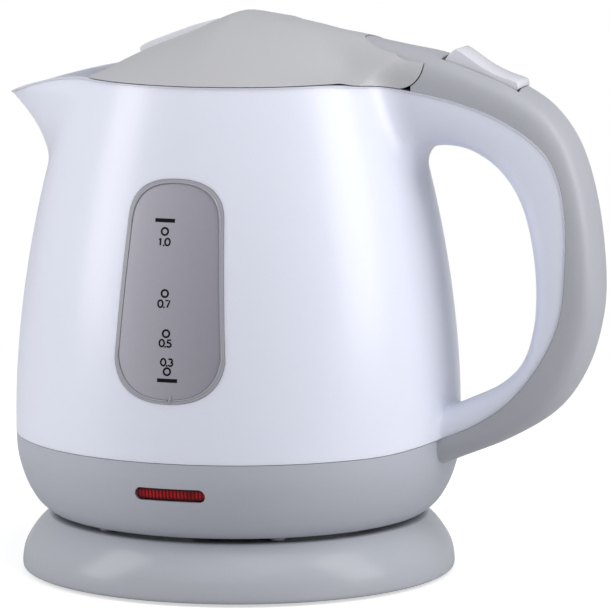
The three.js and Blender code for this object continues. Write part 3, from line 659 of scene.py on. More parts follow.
white_plastic = plastic("white_plastic", rgb(226, 229, 242), 0.28)
through = white_plastic.node_tree.nodes["Principled BSDF"]
through.inputs["Subsurface Weight"].default_value = 0.3
through.inputs["Subsurface Radius"].default_value = (1, 1, 1)
through.inputs["Subsurface Scale"].default_value = 0.003
moulding.data.materials.clear()
moulding.data.materials.append(white_plastic)
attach(moulding, "jug")
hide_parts("jug_body")

# Lower casing. A satin grey bowl that clips over the jug's foot, with a rounded lower edge.
# It is turned round the jug's axis, and a slot with round ends is cut through its front for the lamp.
CASING_OUTSIDE = [
    (60.5, 20.9), (62.6, 20.6), (63.8, 21), (66.3, 22.9), (68.5, 25.4),
    (71.2, 30.2), (73.2, 35.8), (74.3, 41), (74.65, 46.7),
]
CASING_INSIDE = [(72, 46.7), (71.4, 41), (66, 26.4), (60.5, 23)]
casing_line = curve_through(CASING_OUTSIDE, 60)
LENS_MIDDLE = (1.2, 36.3)
LENS_LENGTH, LENS_END_RADIUS = 23.4, 1.9


def turned(name, profile, count=192, x=0.0, y=0.0):
    # A closed ring or disc turned from a profile of radius and height
    profile = list(profile)
    if profile[0][0] > 0:
        rings = np.array([circle(r, z, count, x, y) for r, z in profile + [profile[0]]])
        points, faces = rings[:-1].reshape(-1, 3), []
        for level in range(len(profile)):
            after = (level + 1) % len(profile)
            for i in range(count):
                j = (i + 1) % count
                near, far = level * count, after * count
                faces.append((near + i, near + j, far + j, far + i))
        return outward(new_piece(name, points, faces))
    return stack(name, [circle(max(r, 0.02), z, count, x, y) for r, z in profile])


def lens_outline(grow, count=20):
    # The lamp slot seen from the front, larger or smaller all round
    half, radius = LENS_LENGTH / 2 - LENS_END_RADIUS, LENS_END_RADIUS + grow
    turns = np.linspace(-math.pi / 2, math.pi / 2, count)
    right = [(half + radius * math.cos(a), radius * math.sin(a)) for a in turns]
    left = [(-x, -z) for x, z in right]
    return [(x + LENS_MIDDLE[0], z + LENS_MIDDLE[1]) for x, z in right + left]


casing = turned("lower_casing", [tuple(p) for p in casing_line] + CASING_INSIDE)
carve(casing, prism("lens_hole", lens_outline(0.3), -90, -60))
for corner in casing.data.vertices:
    x, z = corner.co.x * 1000 - AXIS_X, corner.co.z * 1000
    corner.co.z += float(seam_rise(x)) * max(0, z - 38) / 8600
soften(casing)
satin_grey = plastic("satin_grey", rgb(176, 179, 188), 0.42, cloud=0.04, pitting=0.12)
casing.data.materials.append(satin_grey)
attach(casing, "jug")
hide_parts("lower_casing")

# Stand. A glossy grey round base with a sloping skirt and a sunk deck that the jug's foot sits over.
# It is turned round the same axis.
SKIRT = [
    (61.5, 18.9), (62.3, 18.95), (63.3, 18.85), (64.3, 18.4), (67.3, 15.6), (70.2, 11.6),
    (71.9, 8.2), (72.6, 5), (72.8, 2.6), (72.6, 1.2), (71.9, 0.7),
]
skirt_line = curve_through(SKIRT, 60)
DECK = [
    (70.6, 0.7), (70.6, 5), (60, 16.6), (50, 14.8), (11.6, 14.8),
    (11.6, 16.9), (49.5, 16.9), (53, 18.6), (54, 18.9),
]
stand = turned("stand_shell", [tuple(p) for p in skirt_line] + DECK)
soften(stand)
stand_grey = plastic("stand_grey", rgb(173, 176, 183), 0.2, cloud=0.03, pitting=0.02)
stand_grey.node_tree.nodes["Principled BSDF"].inputs["Specular IOR Level"].default_value = 0.22
stand.data.materials.append(stand_grey)
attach(stand, "stand")
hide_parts("stand_shell")

# Underside of the stand. A flat grey plate closes the stand and carries a short collar under the connector.
# Three steel screws hold it, and four grey rubber feet push into its sockets.
STAND_SCREWS = [(42, 30 + 120 * i) for i in range(3)]
STAND_FEET = [(62, 38 + 90 * i) for i in range(4)]


def at(radius, degrees):
    # A place on a circle round the jug's axis
    return radius * math.cos(math.radians(degrees)), radius * math.sin(math.radians(degrees))


def round_tool(radius, bottom, top, spot, count=40):
    return stack("round_tool", [circle(radius, z, count, *spot) for z in (bottom, top)])


plate_edge = [(69.4, 1.8), (69.9, 2.3), (69.9, 4), (9.9, 4), (9.9, 9.6), (8.1, 9.6), (8.1, 4), (0, 4)]
stand_plate = turned("stand_bottom_plate", [(0, 1.8)] + plate_edge)
for spot in STAND_SCREWS:
    carve(stand_plate, round_tool(1.7, 0, 12, at(*spot)))
for spot in STAND_FEET:
    carve(stand_plate, round_tool(2.3, 0, 12, at(*spot)))
carve(stand_plate, prism("gland_room", [(-9.5, 0), (9.5, 0), (9.5, 10), (-9.5, 10)], 55, 90))
soften(stand_plate)
plate_grey = plastic("plate_grey", rgb(150, 152, 158), 0.5, cloud=0.05, pitting=0.2)
stand_plate.data.materials.append(plate_grey)
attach(stand_plate, "stand")
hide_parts("stand_bottom_plate")

rubber_grey = plastic("rubber_grey", rgb(128, 130, 135), 0.8, cloud=0.12, pitting=0.6)
FOOT_PROFILE = [
    (0, 0.15), (3.9, 0.15), (4.2, 0), (4.7, 0), (5.1, 0.25), (5.2, 0.6),
    (5.2, 1.5), (2, 1.5), (2, 4.6), (1.7, 5), (0, 5),
]
for number, spot in enumerate(STAND_FEET, 1):
    foot = turned(f"stand_foot_{number}", FOOT_PROFILE, 64, *at(*spot))
    soften(foot)
    foot.data.materials.append(rubber_grey)
    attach(foot, "stand")
    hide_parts(f"stand_foot_{number}")


def drawn_lines_group():
    # Bare metal: fine lines left by drawing or turning, which vary its tone and catch the light unevenly
    amounts = (("Wear", "NodeSocketFloat", 0.15), ("Roughness", "NodeSocketFloat", 0.3))
    group, given, out, lines = uneven_group("drawn_lines", amounts, 1, 3, stretch=(300, 300, 2600))
    relief(group, given, out, "Wear", lines.outputs["Fac"], 0.0001)
    return group


drawn_lines = drawn_lines_group()


def metal(name, colour, roughness, wear=0.2):
    material = surfaced(name, drawn_lines, Color=colour, Roughness=roughness, Wear=wear)
    material.node_tree.nodes["Principled BSDF"].inputs["Metallic"].default_value = 1
    return material


def dress(material, *names):
    # Gives a material to CAD pieces whose shape is right as it is
    for name in names:
        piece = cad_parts[name]
        if not piece.material_slots:
            piece.data.materials.append(material)
        for place in piece.material_slots:
            place.material = material


bright_steel = metal("bright_steel", rgb(205, 206, 208), 0.28)
dress(bright_steel, *(f"stand_screw_{i}" for i in (1, 2, 3)))

# Connector. A round black plug in the middle of the deck, with a brass pin at its centre and a brass ring.
# The jug's black socket drops over it, so the jug can be put down and turned at any angle.
PLUG_PROFILE = [
    (0, 10.2), (19.6, 10.2), (20, 10.6), (20, 14.5), (11, 14.5), (11, 29), (10.6, 30.2), (9.4, 31), (7.4, 31),
    (7.4, 14.6), (5.1, 14.6), (5.1, 30.9), (4.9, 31), (2.6, 31), (2.4, 30.8), (2.4, 14.6), (0, 14.6),
]
plug = turned("stand_connector", PLUG_PROFILE, 96)
soften(plug)
plug_black = plastic("plug_black", rgb(42, 43, 46), 0.45, cloud=0.1, pitting=0.25)
plug.data.materials.append(plug_black)
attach(plug, "stand")
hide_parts("stand_connector")
turned_brass = metal("turned_brass", rgb(214, 180, 102), 0.25)
dress(turned_brass, "stand_contact_pin", "stand_contact_ring")
socket = stack("connector_socket", [circle(17, z, 96) for z in (19.8, 36.2)])
carve(socket, stack("well", [circle(r, z, 96) for r, z in ((12.2, 19), (11.8, 20.3), (11.8, 33.2))]))
soften(socket, bevel=0.4)
socket.data.materials.append(plug_black)
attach(socket, "connector_socket")
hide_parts("connector_socket")

# Cord gland. A grey rubber block with softened edges, held in the stand's notch by a flange behind it.
# A round hole for the cord goes through it.
gland = prism("cord_gland", [(-6, 1.7), (6, 1.7), (6, 10), (-6, 10)], 65, 73.1)
carve(gland, prism("flange", [(-9, 1.9), (9, 1.9), (9, 11.6), (-9, 11.6)], 62, 65.7), "UNION")
soften(gland, bevel=0.5)
hole = [(x, z + 5.8) for x, z, _ in circle(3.4, 0, 48)]
carve(gland, prism("cord_hole", hole, 50, 90))
soften(gland)
gland.data.materials.append(rubber_grey)
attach(gland, "stand")
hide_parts("cord_gland")

# Foot of the jug. A grey plate under the casing, with six small feet that rest on the stand's deck.
# Three steel screws go up through it into the clamp ring, and the heater hangs above it, out of sight.
PLATE_PROFILE = [(17.5, 21.5), (17.8, 21.2), (61.1, 21.2), (61.5, 21.6), (61.5, 23.4), (17.5, 23.4)]
SMALL_FOOT_PROFILE = [(0, 19.2), (2.1, 19.2), (2.6, 19.7), (2.6, 22), (0, 22)]
foot_plate = turned("jug_bottom_plate", PLATE_PROFILE)
for i in range(6):
    carve(foot_plate, turned("small_foot", SMALL_FOOT_PROFILE, 32, *at(58.6, 1.5 + 60 * i)), "UNION")
for i in range(3):
    carve(foot_plate, round_tool(1.7, 15, 30, at(50, 90 + 120 * i)))
soften(foot_plate)
foot_plate.data.materials.append(plate_grey)
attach(foot_plate, "jug")
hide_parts("jug_bottom_plate")
dress(bright_steel, *(f"casing_screw_{i}" for i in (1, 2, 3)))

# Heater. A stainless steel plate closes the chamber, held down on its rubber seal by a black clamp ring.
# A tube element is brazed to an aluminium disc under it, with the black control and its bimetal disc below.
plate_steel = metal("plate_steel", rgb(196, 198, 200), 0.32, wear=0.35)
PAN_PROFILE = [
    (0, 56.3), (58.6, 56.3), (59.2, 55.6), (59.4, 51.2), (66.6, 51.2), (66.6, 52.3),
    (60.6, 52.3), (60.4, 52.6), (60.4, 56.3), (59.7, 57), (0, 57),
]
pan = turned("element_plate", PAN_PROFILE)
soften(pan)
pan.data.materials.append(plate_steel)
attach(pan, "jug")
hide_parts("element_plate")
dress(rubber_grey, "plate_seal")
dress(metal("spun_aluminium", rgb(186, 189, 193), 0.45), "heat_spreader")
dress(metal("element_sheath", rgb(120, 118, 114), 0.5, wear=0.5), "heating_element")
control_black = plastic("control_black", rgb(38, 38, 40), 0.55, cloud=0.15, pitting=0.3)
dress(control_black, "clamp_ring", "control_housing", "lamp_holder", "switch_housing")
dress(metal("bimetal", rgb(190, 182, 168), 0.3), "boil_dry_disc", "steam_disc")

# Lid. A satin grey dome with a soft ridge that runs back into two ears beside the handle cover's nose.
# The dome and the handle's section are eased together, then trimmed to the rim, the nose and the hinge.
HINGE = (59.5, 172.8)
EAR_INSIDE = 10.65
EAR_RADIUS = 8.2
LID_GAP = 0.35
RIDGE = [
    (-60, 158.4), (-52, 162.1), (-47.5, 164), (-44, 166), (-39.5, 169.2), (-35, 172.1), (-28.5, 175.3),
    (-22, 178), (-11, 182.4), (-3, 186.1), (1.5, 187.6), (4.5, 187.6), (9, 187), (14, 186.2),
    (20, 184.1), (26, 181), (31, 177.4), (37, 172), (43, 167.6), (50, 166), (56, 165),
]
ridge_line = curve_through(RIDGE, 300)
MOUTH_RADIUS = 54.9


def lid_top(x, y):
    # The dome's height: the ridge line in the middle, falling to the rim at both sides
    low = rim_height(x) + 0.1
    rise = np.interp(x, ridge_line[:, 0], ridge_line[:, 1]) - low
    half = np.sqrt(np.maximum(60, MOUTH_RADIUS**2 - x * x))
    return low + np.maximum(rise, 0) * (1 - (y / half) ** 2) + np.minimum(rise, 0)


def lid_field(x, y, z):
    # The dome eased into the handle's section, and kept flush with the jug below it
    dome = np.maximum((z - lid_top(x, y)) * 0.85, x - 56)
    whole_bar = bar_field(y, *bar_depths(x, z))
    let_down = 0.0125 * np.maximum(0, 44 - x) ** 2
    bar = np.maximum(whole_bar + let_down, np.maximum(x - 70, 12 - x))
    flush = eased_join(belly_field(x, y, z), np.maximum(whole_bar, 32 - x), 9)
    return np.maximum.reduce([eased_join(dome, bar, 14), flush, 161 - z, -50 - x])


NOSE_PROFILE = [
    (0, 16.2), (2, 16.1), (4, 15.5), (5.3, 14.6), (6.5, 13.4), (7.4, 12.3),
    (8.2, 11), (8.9, 9.5), (9.5, 7.4), (9.9, 5.2), (10.2, 2.8), (10.3, 1.1),
]


def nose(name, grow):
    # The handle cover's rounded nose, turned about the hinge
    whole = [(-y, r) for y, r in NOSE_PROFILE[:0:-1]] + NOSE_PROFILE
    rings = []
    for y, r in [(whole[0][0] - grow, 0.02)] + whole + [(whole[-1][0] + grow, 0.02)]:
        a = np.linspace(0, 2 * math.pi, 96, endpoint=False)
        radius = r + (grow if r > 1 else 0)
        x, z = HINGE[0] + radius * np.cos(a), HINGE[1] + radius * np.sin(a)
        rings.append(np.stack([x, np.full(96, y), z], 1))
    return stack(name, rings)


def about_hinge(radius):
    # The rear half of a circle about the hinge, seen from the side
    turns = np.linspace(-math.pi / 2, math.pi / 2, 40)
    return [(HINGE[0] + radius * math.cos(a), HINGE[1] + radius * math.sin(a)) for a in turns]


lid = new_piece("lid_shell", *skin_of(lid_field, (-56, -69, 158), (74, 69, 190), 1.5))
above_rim = [(x, float(rim_height(x)) + LID_GAP) for x in np.linspace(-95, RIM_END, 90)]
above_rim += [(x, z + LID_GAP) for x, z in parting_line if x < 61] + [(80, 163.2), (80, 200), (-95, 200)]
carve(lid, prism("above_rim", above_rim, -90, 90), "INTERSECT")
ear_outline = [(-95, 150), (HINGE[0], 150)] + about_hinge(EAR_RADIUS) + [(HINGE[0], 200), (-95, 200)]
carve(lid, prism("ear_outline", ear_outline, -90, 90), "INTERSECT")
carve(lid, nose("nose_room", LID_GAP))
between_ears = [(HINGE[0] - 1, 150), (90, 150), (90, 200), (HINGE[0] - 1, 200)]
carve(lid, prism("between_ears", between_ears, -EAR_INSIDE, EAR_INSIDE))
soften(lid)
lid_grey = plastic("lid_grey", rgb(182, 182, 185), 0.44, cloud=0.03, pitting=0.1)
lid.data.materials.append(lid_grey)
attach(lid, "lid")
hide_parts("lid_shell")

# Thumb plate. A thin glossy white plate set into the lid's front slope, by which the thumb lifts the lid.
# It follows the slope, stands a little proud of it, and all its edges are rounded.
TAB_TOP = [
    (-32.4, 174.8), (-31, 176), (-28, 177.4), (-22.3, 179.6), (-17, 181.6), (-12.5, 183.2), (-9, 184.2),
]
tab_line = curve_through(TAB_TOP, 30)
tab_under = [(x + 0.8, z - 3.2) for x, z in tab_line[::-1]]
tab = prism("lid_tab", [tuple(p) for p in tab_line] + tab_under, -7, 7)
soften(tab, bevel=0.6, segments=3)
tab_white = plastic("tab_white", rgb(226, 226, 232), 0.26)
tab.data.materials.append(tab_white)
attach(tab, "lid")
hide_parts("lid_tab")

# Lid liner. A shallow grey tray that closes the lid from below, with a skirt that drops into the mouth.
# A slot at its back lets steam into the handle, and two steel screws hold it to the lid.
LINER_PROFILE = [
    (0, 163), (46.6, 163), (47, 162.6), (47, 157.9), (47.4, 157.5),
    (48.6, 157.5), (49, 157.9), (49, 165), (0, 165),
]
liner = turned("lid_liner", LINER_PROFILE)
carve(liner, prism("liner_front", [(-90, 150), (-40, 150), (-40, 200), (-90, 200)], -90, 90))
carve(liner, nose("liner_nose", 3.2))
liner_back = [(HINGE[0] - 9, 150), (90, 150), (90, 200), (HINGE[0] - 9, 200)]
carve(liner, prism("liner_back", liner_back, -20, 20))
carve(liner, prism("steam_slot", [(20, 160), (34, 160), (34, 168), (20, 168)], -5, 5))
for y in (-30, 30):
    carve(liner, round_tool(1.6, 158, 162, (-6, y)))
soften(liner)
liner_grey = plastic("liner_grey", rgb(170, 171, 176), 0.4, cloud=0.04, pitting=0.08)
liner.data.materials.append(liner_grey)
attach(liner, "lid")
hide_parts("lid_liner")
dress(bright_steel, "lid_screw_1", "lid_screw_2", "lid_hinge_pin")

# Handle cover. The satin grey outer half of the loop handle, from the nose at the lid to the casing.
# Its section is the handle's rounded one, cut at the parting line and set in a little from the white half.
COVER_INSET = 0.2
COVER_EAR_RADIUS = 8.6
whole_parting = np.vstack([[(10, 169.4), (30, 168)], parting_line, [(62, 44), (40, 36)]])


def cover_rings(count=64):
    # The handle's section at each place along it, cut off just outside the parting line
    rings = []
    power = 2 / HANDLE_SQUARENESS
    for outer, grip in zip(outer_line[16:-2], grip_line[16:-2]):
        middle, half = (outer + grip) / 2, (outer - grip) / 2
        shares = np.linspace(-0.98, 0.98, 80)
        away = side_distance(middle[0] + shares * half[0], middle[1] + shares * half[1], whole_parting)
        cut_at = np.interp(0.1, away, shares)
        inner = 1 - COVER_INSET / np.hypot(*half)
        turn_to = math.acos(np.clip(np.sign(cut_at) * abs(cut_at / inner) ** (1 / power), -1, 1))
        phi = np.linspace(-turn_to, turn_to, count)
        u = np.sign(np.cos(phi)) * np.abs(np.cos(phi)) ** power * inner
        v = np.sign(np.sin(phi)) * np.abs(np.sin(phi)) ** power * (HANDLE_HALF_WIDTH - COVER_INSET)
        rings.append(np.stack([middle[0] + u * half[0], v, middle[1] + u * half[1]], 1))
    return rings


cover = stack("handle_cover", cover_rings())
before_hinge = [(10, 150), (HINGE[0], 150), (HINGE[0], 210), (10, 210)]
carve(cover, carve(prism("nose_zone", before_hinge, -30, 30), nose("nose", 0)))
above_ear = [(HINGE[0] - 12, HINGE[1] - COVER_EAR_RADIUS)] + about_hinge(COVER_EAR_RADIUS)[:21]
above_ear += [(HINGE[0] + COVER_EAR_RADIUS, 200), (HINGE[0] - 12, 200)]
for side in (-1, 1):
    carve(cover, prism("ear_room", above_ear, *sorted((side * (EAR_INSIDE - 0.3), side * 30))))
carve(cover, prism("below_nose", [(30, 100), (64, 100), (64, 167.9), (30, 167.9)], -30, 30))
rocker_hole = [(72.2, 162.3), (99.4, 155.1), (99.4, 190), (73.4, 190), (73.3, 175), (72.2, 172.9)]
carve(cover, prism("rocker_hole", rocker_hole, -7.5, 7.5))
soften(cover)
cover_grey = plastic("cover_grey", rgb(172, 173, 180), 0.4, cloud=0.03, pitting=0.1)
cover.data.materials.append(cover_grey)
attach(cover, "jug")
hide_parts("handle_cover")

# Rocker switch. A glossy white button with a raised inner end and a long hollow slope.
# Its edges are rounded, and it tilts on a steel pin across the handle, in a slot in the cover.
ROCKER_TOP = [
    (74, 174), (75.6, 176), (77.3, 177.5), (78.5, 177.3), (80.7, 176), (84, 173.8),
    (87.4, 171.7), (92.5, 169.4), (97, 168), (98.7, 167.1), (99, 165.3),
]
ROCKER_UNDER = [(96.5, 162.6), (87, 161.6), (79.8, 161.8), (77.2, 166)]
rocker_outline = [tuple(p) for p in curve_through(ROCKER_TOP, 44)] + ROCKER_UNDER
rocker = prism("rocker_button", rocker_outline, -7, 7)
soften(rocker, bevel=0.7, segments=3)
rocker_white = plastic("rocker_white", rgb(216, 216, 223), 0.24)
rocker.data.materials.append(rocker_white)
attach(rocker, "rocker")
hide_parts("rocker_button")
dress(bright_steel, "rocker_pin")
dress(plastic("lever_amber", rgb(178, 132, 72), 0.45, cloud=0.08, pitting=0.2), "trip_lever")
dress(plastic("lead_black", rgb(36, 36, 38), 0.6, cloud=0.1, pitting=0.4), "switch_lead_1")
dress(plastic("lead_red", rgb(120, 26, 32), 0.55, cloud=0.1, pitting=0.4), "switch_lead_2")

# Water gauge. A smoked grey window let into the belly, in a thin grey rim that stands just proud of it.
# Both are cut from the belly's own curve, so they follow it.
RIM_WIDTH = 1.35


def belly_band(name, outside, inside):
    # A curved sheet of the belly's front, between two offsets from its surface
    angles = math.pi / 2 + np.radians(np.linspace(-24, 24, 97))
    heights = np.linspace(60, 145, 86)
    layers = []
    for offset in (outside, inside):
        reach = body_radius(heights)[:, None] + offset
        level = heights[:, None] + 0 * angles
        layers.append(np.stack([reach * np.cos(angles), -reach * np.sin(angles), level], -1))
    rows, columns = len(heights), len(angles)
    points = np.vstack([layer.reshape(-1, 3) for layer in layers])
    faces = []
    for layer in range(2):
        start = layer * rows * columns
        for i in range(rows - 1):
            for j in range(columns - 1):
                a = start + i * columns + j
                faces.append((a, a + 1, a + columns + 1, a + columns))
    border = list(range(columns)) + [i * columns + columns - 1 for i in range(1, rows)]
    border += [(rows - 1) * columns + j for j in range(columns - 2, -1, -1)]
    border += [i * columns for i in range(rows - 2, 0, -1)]
    for a, b in zip(border, border[1:] + border[:1]):
        faces.append((a, b, b + rows * columns, a + rows * columns))
    return outward(new_piece(name, points, faces))


bezel = belly_band("gauge_bezel", 0.15, -WALL)
carve(bezel, prism("bezel_outline", gauge_outline(0), -90, -45), "INTERSECT")
carve(bezel, prism("bezel_hole", gauge_outline(-RIM_WIDTH), -90, -45))
bead = gauge_outline(0.25 - RIM_WIDTH)


def on_belly(x, z, offset):
    # The point of the belly's front at x and z, moved out by an offset
    reach = body_radius(z) + offset
    return np.stack([x, -np.sqrt(reach**2 - x**2), z], 1)


merge(bezel, tube("bead", on_belly(*np.vstack([bead, bead[:2]]).T, 0.1), 0.26))
gate = np.linspace((1.8, 66.7), (2.1, 69.3), 12)
merge(bezel, tube("gate_mark", on_belly(*gate.T, 0.1), 0.34))
soften(bezel)
bezel_grey = plastic("bezel_grey", rgb(160, 159, 167), 0.3)
bezel.data.materials.append(bezel_grey)
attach(bezel, "jug")
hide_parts("gauge_bezel")
window = belly_band("gauge_window", -0.05, -WALL)
carve(window, prism("window_outline", gauge_outline(-RIM_WIDTH - 0.1), -90, -45), "INTERSECT")
soften(window)


def smoked_plastic_painted_shade(name, left, right):
    # Smoked plastic with painted light and shade: paler at the left and top, darker towards the right and
    # bottom, where the chamber's shade would show through it
    material = plastic(name, left, 0.32, cloud=0.02, pitting=0.01)
    nodes, links = material.node_tree.nodes, material.node_tree.links
    # Painted shade: the tone runs from the pale colour at the left to the dark one at the right, fixed to the
    # window
    where = nodes.new("ShaderNodeTexCoord")
    across = nodes.new("ShaderNodeVectorMath")
    across.operation = "DOT_PRODUCT"
    across.inputs[1].default_value = (1, 0, -0.12)
    links.new(where.outputs["Object"], across.inputs[0])
    share = nodes.new("ShaderNodeMapRange")
    share.inputs["From Min"].default_value = -0.055
    share.inputs["From Max"].default_value = -0.012
    links.new(across.outputs["Value"], share.inputs["Value"])
    tone = nodes.new("ShaderNodeMix")
    tone.data_type = "RGBA"
    tone.inputs["A"].default_value = left
    tone.inputs["B"].default_value = right
    links.new(share.outputs[0], tone.inputs["Factor"])
    surface = next(node for node in nodes if node.bl_idname == "ShaderNodeGroup")
    links.new(tone.outputs["Result"], surface.inputs["Color"])
    return material


# The window's colour at its pale left and its painted-shade right
smoked = smoked_plastic_painted_shade("smoked_window", rgb(176, 174, 184), rgb(140, 138, 148))
window.data.materials.append(smoked)
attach(window, "jug")
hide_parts("gauge_window")

# Gauge marks. Black printing on the window: a ring and a plain number at each level, and a bar at each end.
# The ink is a thin layer that follows the window's curve.
INK_LEVELS = [
    (-2.1, 121.6, 118.3, "1.0"), (-0.9, 101.9, 98.6, "0.7"), (0.1, 89.1, 86, "0.5"), (0.8, 76.9, 79.9, "0.3"),
]
INK_BARS = [(-2.3, 125.1), (0.9, 74)]
FIGURE_HEIGHT = 2.7
RING_RADIUS = 1.13


def arc_line(x, z, wide, high, start, end, count=14):
    # Part of an ellipse, from one angle to another in degrees
    a = np.radians(np.linspace(start, end, count))
    return [(x + wide * math.cos(t), z + high * math.sin(t)) for t in a]


FIGURES = {
    "0": [arc_line(0.34, 0.5, 0.31, 0.41, 0, 360, 28)],
    "1": [[(0.16, 0.74), (0.36, 0.92), (0.36, 0.07)]],
    "3": [arc_line(0.32, 0.7, 0.23, 0.21, 150, -80), arc_line(0.32, 0.29, 0.27, 0.22, 80, -155)],
    "5": [[(0.58, 0.9), (0.18, 0.9), (0.13, 0.53)] + arc_line(0.32, 0.32, 0.27, 0.25, 105, -150)],
    "7": [[(0.06, 0.9), (0.6, 0.9), (0.28, 0.07)]],
}


def ink_stroke(line, width):
    # A band of ink along a line in x and z, laid on the belly's curve just in front of the window
    line = np.array(line, float)
    ahead = np.gradient(line, axis=0)
    ahead /= np.linalg.norm(ahead, axis=1)[:, None]
    side = ahead[:, ::-1] * (-1, 1) * width / 2
    flat = np.vstack([line + side, (line - side)[::-1]])
    n = len(line)
    points = [on_belly(*flat.T, offset) for offset in (0.01, -0.08)]
    faces = []
    for i in range(n - 1):
        a, b, c, d = i, i + 1, 2 * n - 2 - i, 2 * n - 1 - i
        faces += [(a, b, c, d), (d + 2 * n, c + 2 * n, b + 2 * n, a + 2 * n)]
    faces += [(i, (i + 1) % (2 * n), (i + 1) % (2 * n) + 2 * n, i + 2 * n) for i in range(2 * n)]
    return np.vstack(points), faces


ink_points, ink_faces = [], []


def ink(line, width=0.54):
    # Adds one stroke to the printing
    points, faces = ink_stroke(line, width)
    start = sum(len(p) for p in ink_points)
    ink_points.append(points)
    ink_faces.extend([tuple(start + k for k in face) for face in faces])


for x, ring_z, figure_z, label in INK_LEVELS:
    ink(arc_line(x, ring_z, RING_RADIUS, RING_RADIUS, 0, 360, 40), 0.6)
    left = x - 0.84 * FIGURE_HEIGHT
    for sign in label:
        if sign == ".":
            dot = (left + 0.08 * FIGURE_HEIGHT, figure_z - 0.42 * FIGURE_HEIGHT)
            ink([(dot[0] - 0.25, dot[1]), (dot[0] + 0.25, dot[1])], 0.5)
            left += 0.2 * FIGURE_HEIGHT
            continue
        for line in FIGURES[sign]:
            ink([(left + u * FIGURE_HEIGHT, figure_z + (v - 0.5) * FIGURE_HEIGHT) for u, v in line])
        left += 0.72 * FIGURE_HEIGHT
for x, z in INK_BARS:
    ink([(x + step, z) for step in np.linspace(-3.4, 3.4, 9)], 1.2)
printing = outward(new_piece("gauge_marks", np.vstack(ink_points), ink_faces))
print_black = plastic("print_black", rgb(12, 12, 16), 0.6, cloud=0.1, pitting=0.1)
print_black.node_tree.nodes["Principled BSDF"].inputs["Specular IOR Level"].default_value = 0.12
printing.data.materials.append(print_black)
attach(printing, "jug")

# Indicator lens. A dark red clear plastic bar, set back in its slot in the casing.
# It is cut from a turned band, and has fine upright ribs behind its face.
LENS_PROFILE = [(69.4, 30), (70.2, 30), (72.3, 36), (73, 42), (69.4, 42)]
lens_band = turned("indicator_lens", LENS_PROFILE, count=256)
carve(lens_band, prism("lens_outline", lens_outline(-0.15), -90, -60), "INTERSECT")
soften(lens_band)


def ribbed_lens_painted_edge_shade(name, dark, bright):
    # Clear red plastic: bright ribs over a darker ground, with painted shade that fades it to almost black at
    # the lens's top and bottom edges
    material = bpy.data.materials.new(name)
    material.use_nodes = True
    nodes, links = material.node_tree.nodes, material.node_tree.links
    shader = nodes["Principled BSDF"]
    where = nodes.new("ShaderNodeTexCoord")
    ribs = nodes.new("ShaderNodeTexWave")
    ribs.bands_direction = "X"
    ribs.inputs["Scale"].default_value = 260
    ribs.inputs["Distortion"].default_value = 0.6
    ribs.inputs["Detail"].default_value = 1
    links.new(where.outputs["Object"], ribs.inputs["Vector"])
    blotch = nodes.new("ShaderNodeTexNoise")
    blotch.inputs["Scale"].default_value = 190
    blotch.inputs["Detail"].default_value = 1
    links.new(where.outputs["Object"], blotch.inputs["Vector"])
    both = nodes.new("ShaderNodeMath")
    both.operation = "MULTIPLY"
    links.new(ribs.outputs["Fac"], both.inputs[0])
    links.new(blotch.outputs["Fac"], both.inputs[1])
    place = nodes.new("ShaderNodeSeparateXYZ")
    links.new(where.outputs["Object"], place.inputs[0])
    # Painted shade: outside a middle band the lens keeps its dark colour, as if shaded by the slot's edges
    height = nodes.new("ShaderNodeMapRange")
    height.inputs["From Min"].default_value = 0.0346
    height.inputs["From Max"].default_value = 0.0357
    links.new(place.outputs["Z"], height.inputs["Value"])
    top = nodes.new("ShaderNodeMapRange")
    top.inputs["From Min"].default_value = 0.0381
    top.inputs["From Max"].default_value = 0.0372
    links.new(place.outputs["Z"], top.inputs["Value"])
    band = nodes.new("ShaderNodeMath")
    band.operation = "MULTIPLY"
    links.new(height.outputs[0], band.inputs[0])
    links.new(top.outputs[0], band.inputs[1])
    share = nodes.new("ShaderNodeMath")
    share.operation = "MULTIPLY"
    links.new(both.outputs[0], share.inputs[0])
    links.new(band.outputs[0], share.inputs[1])
    colour = nodes.new("ShaderNodeMix")
    colour.data_type = "RGBA"
    links.new(share.outputs[0], colour.inputs["Factor"])
    colour.inputs["A"].default_value = dark
    colour.inputs["B"].default_value = bright
    links.new(colour.outputs["Result"], shader.inputs["Base Color"])
    bump = nodes.new("ShaderNodeBump")
    bump.inputs["Distance"].default_value = 0.0002
    bump.inputs["Strength"].default_value = 0.25
    links.new(ribs.outputs["Fac"], bump.inputs["Height"])
    links.new(bump.outputs[0], shader.inputs["Normal"])
    shader.inputs["Roughness"].default_value = 0.25
    shader.inputs["Specular IOR Level"].default_value = 0.15
    return material


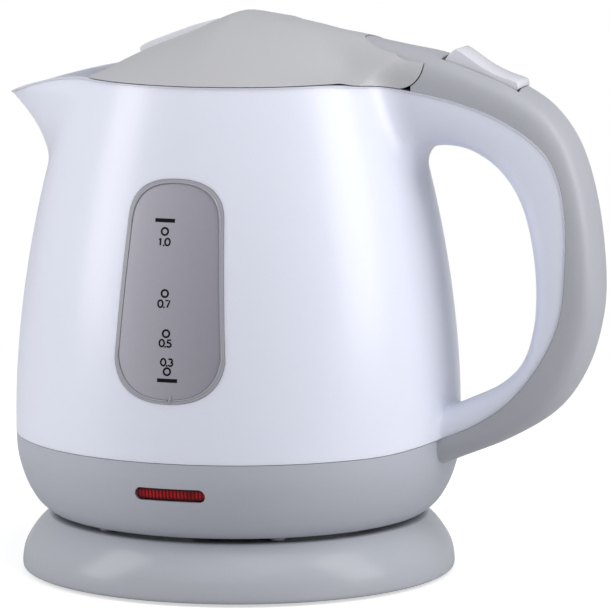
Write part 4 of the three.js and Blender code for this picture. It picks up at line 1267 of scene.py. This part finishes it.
lens_red_painted_edge_shade = ribbed_lens_painted_edge_shade("lens_red_painted_edge_shade", rgb(70, 8, 16), rgb(238, 32, 42))
lens_band.data.materials.append(lens_red_painted_edge_shade)
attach(lens_band, "jug")
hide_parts("indicator_lens")

# Neon lamp. A small glass capsule behind the lens, which glows when the heater is on.
# Its holder stands on the casing's floor.


def lamp_glass(name, tint):
    # Clear tinted glass with a trace of cloud
    material = surfaced(name, mould_grain, Color=tint, Cloud=0.1, Roughness=0.05, Pitting=0.02)
    material.node_tree.nodes["Principled BSDF"].inputs["Transmission Weight"].default_value = 0.85
    return material


dress(lamp_glass("lamp_glass", rgb(240, 176, 140)), "neon_lamp")

# Spout filter. A grey plastic frame that slides in behind the spout, with a fine woven steel net in it.
# The frame's bars are rounded, and the net's wires cross at right angles.
dress(liner_grey, "filter_frame")


def woven_net_painted_gap_shade(name, wire, painted_gap_shade):
    # Fine steel wires over and under each other, with painted shade for the dark seen through the gaps
    # between them
    material = bpy.data.materials.new(name)
    material.use_nodes = True
    nodes, links = material.node_tree.nodes, material.node_tree.links
    shader = nodes["Principled BSDF"]
    where = nodes.new("ShaderNodeTexCoord")
    waves = []
    for direction in ("Y", "Z"):
        wave = nodes.new("ShaderNodeTexWave")
        wave.bands_direction = direction
        wave.inputs["Scale"].default_value = 320
        links.new(where.outputs["Object"], wave.inputs["Vector"])
        waves.append(wave)
    over = nodes.new("ShaderNodeMath")
    over.operation = "MAXIMUM"
    links.new(waves[0].outputs["Fac"], over.inputs[0])
    links.new(waves[1].outputs["Fac"], over.inputs[1])
    colour = nodes.new("ShaderNodeMix")
    colour.data_type = "RGBA"
    links.new(over.outputs[0], colour.inputs["Factor"])
    colour.inputs["A"].default_value = painted_gap_shade
    colour.inputs["B"].default_value = wire
    links.new(colour.outputs["Result"], shader.inputs["Base Color"])
    bump = nodes.new("ShaderNodeBump")
    bump.inputs["Distance"].default_value = 0.0003
    links.new(over.outputs[0], bump.inputs["Height"])
    links.new(bump.outputs[0], shader.inputs["Normal"])
    shader.inputs["Metallic"].default_value = 1
    shader.inputs["Roughness"].default_value = 0.35
    return material


# The dark colour between the wires is painted shade for the holes of the net
dress(woven_net_painted_gap_shade("woven_net_painted_gap_shade", rgb(206, 207, 208), rgb(70, 71, 72)), "filter_net")
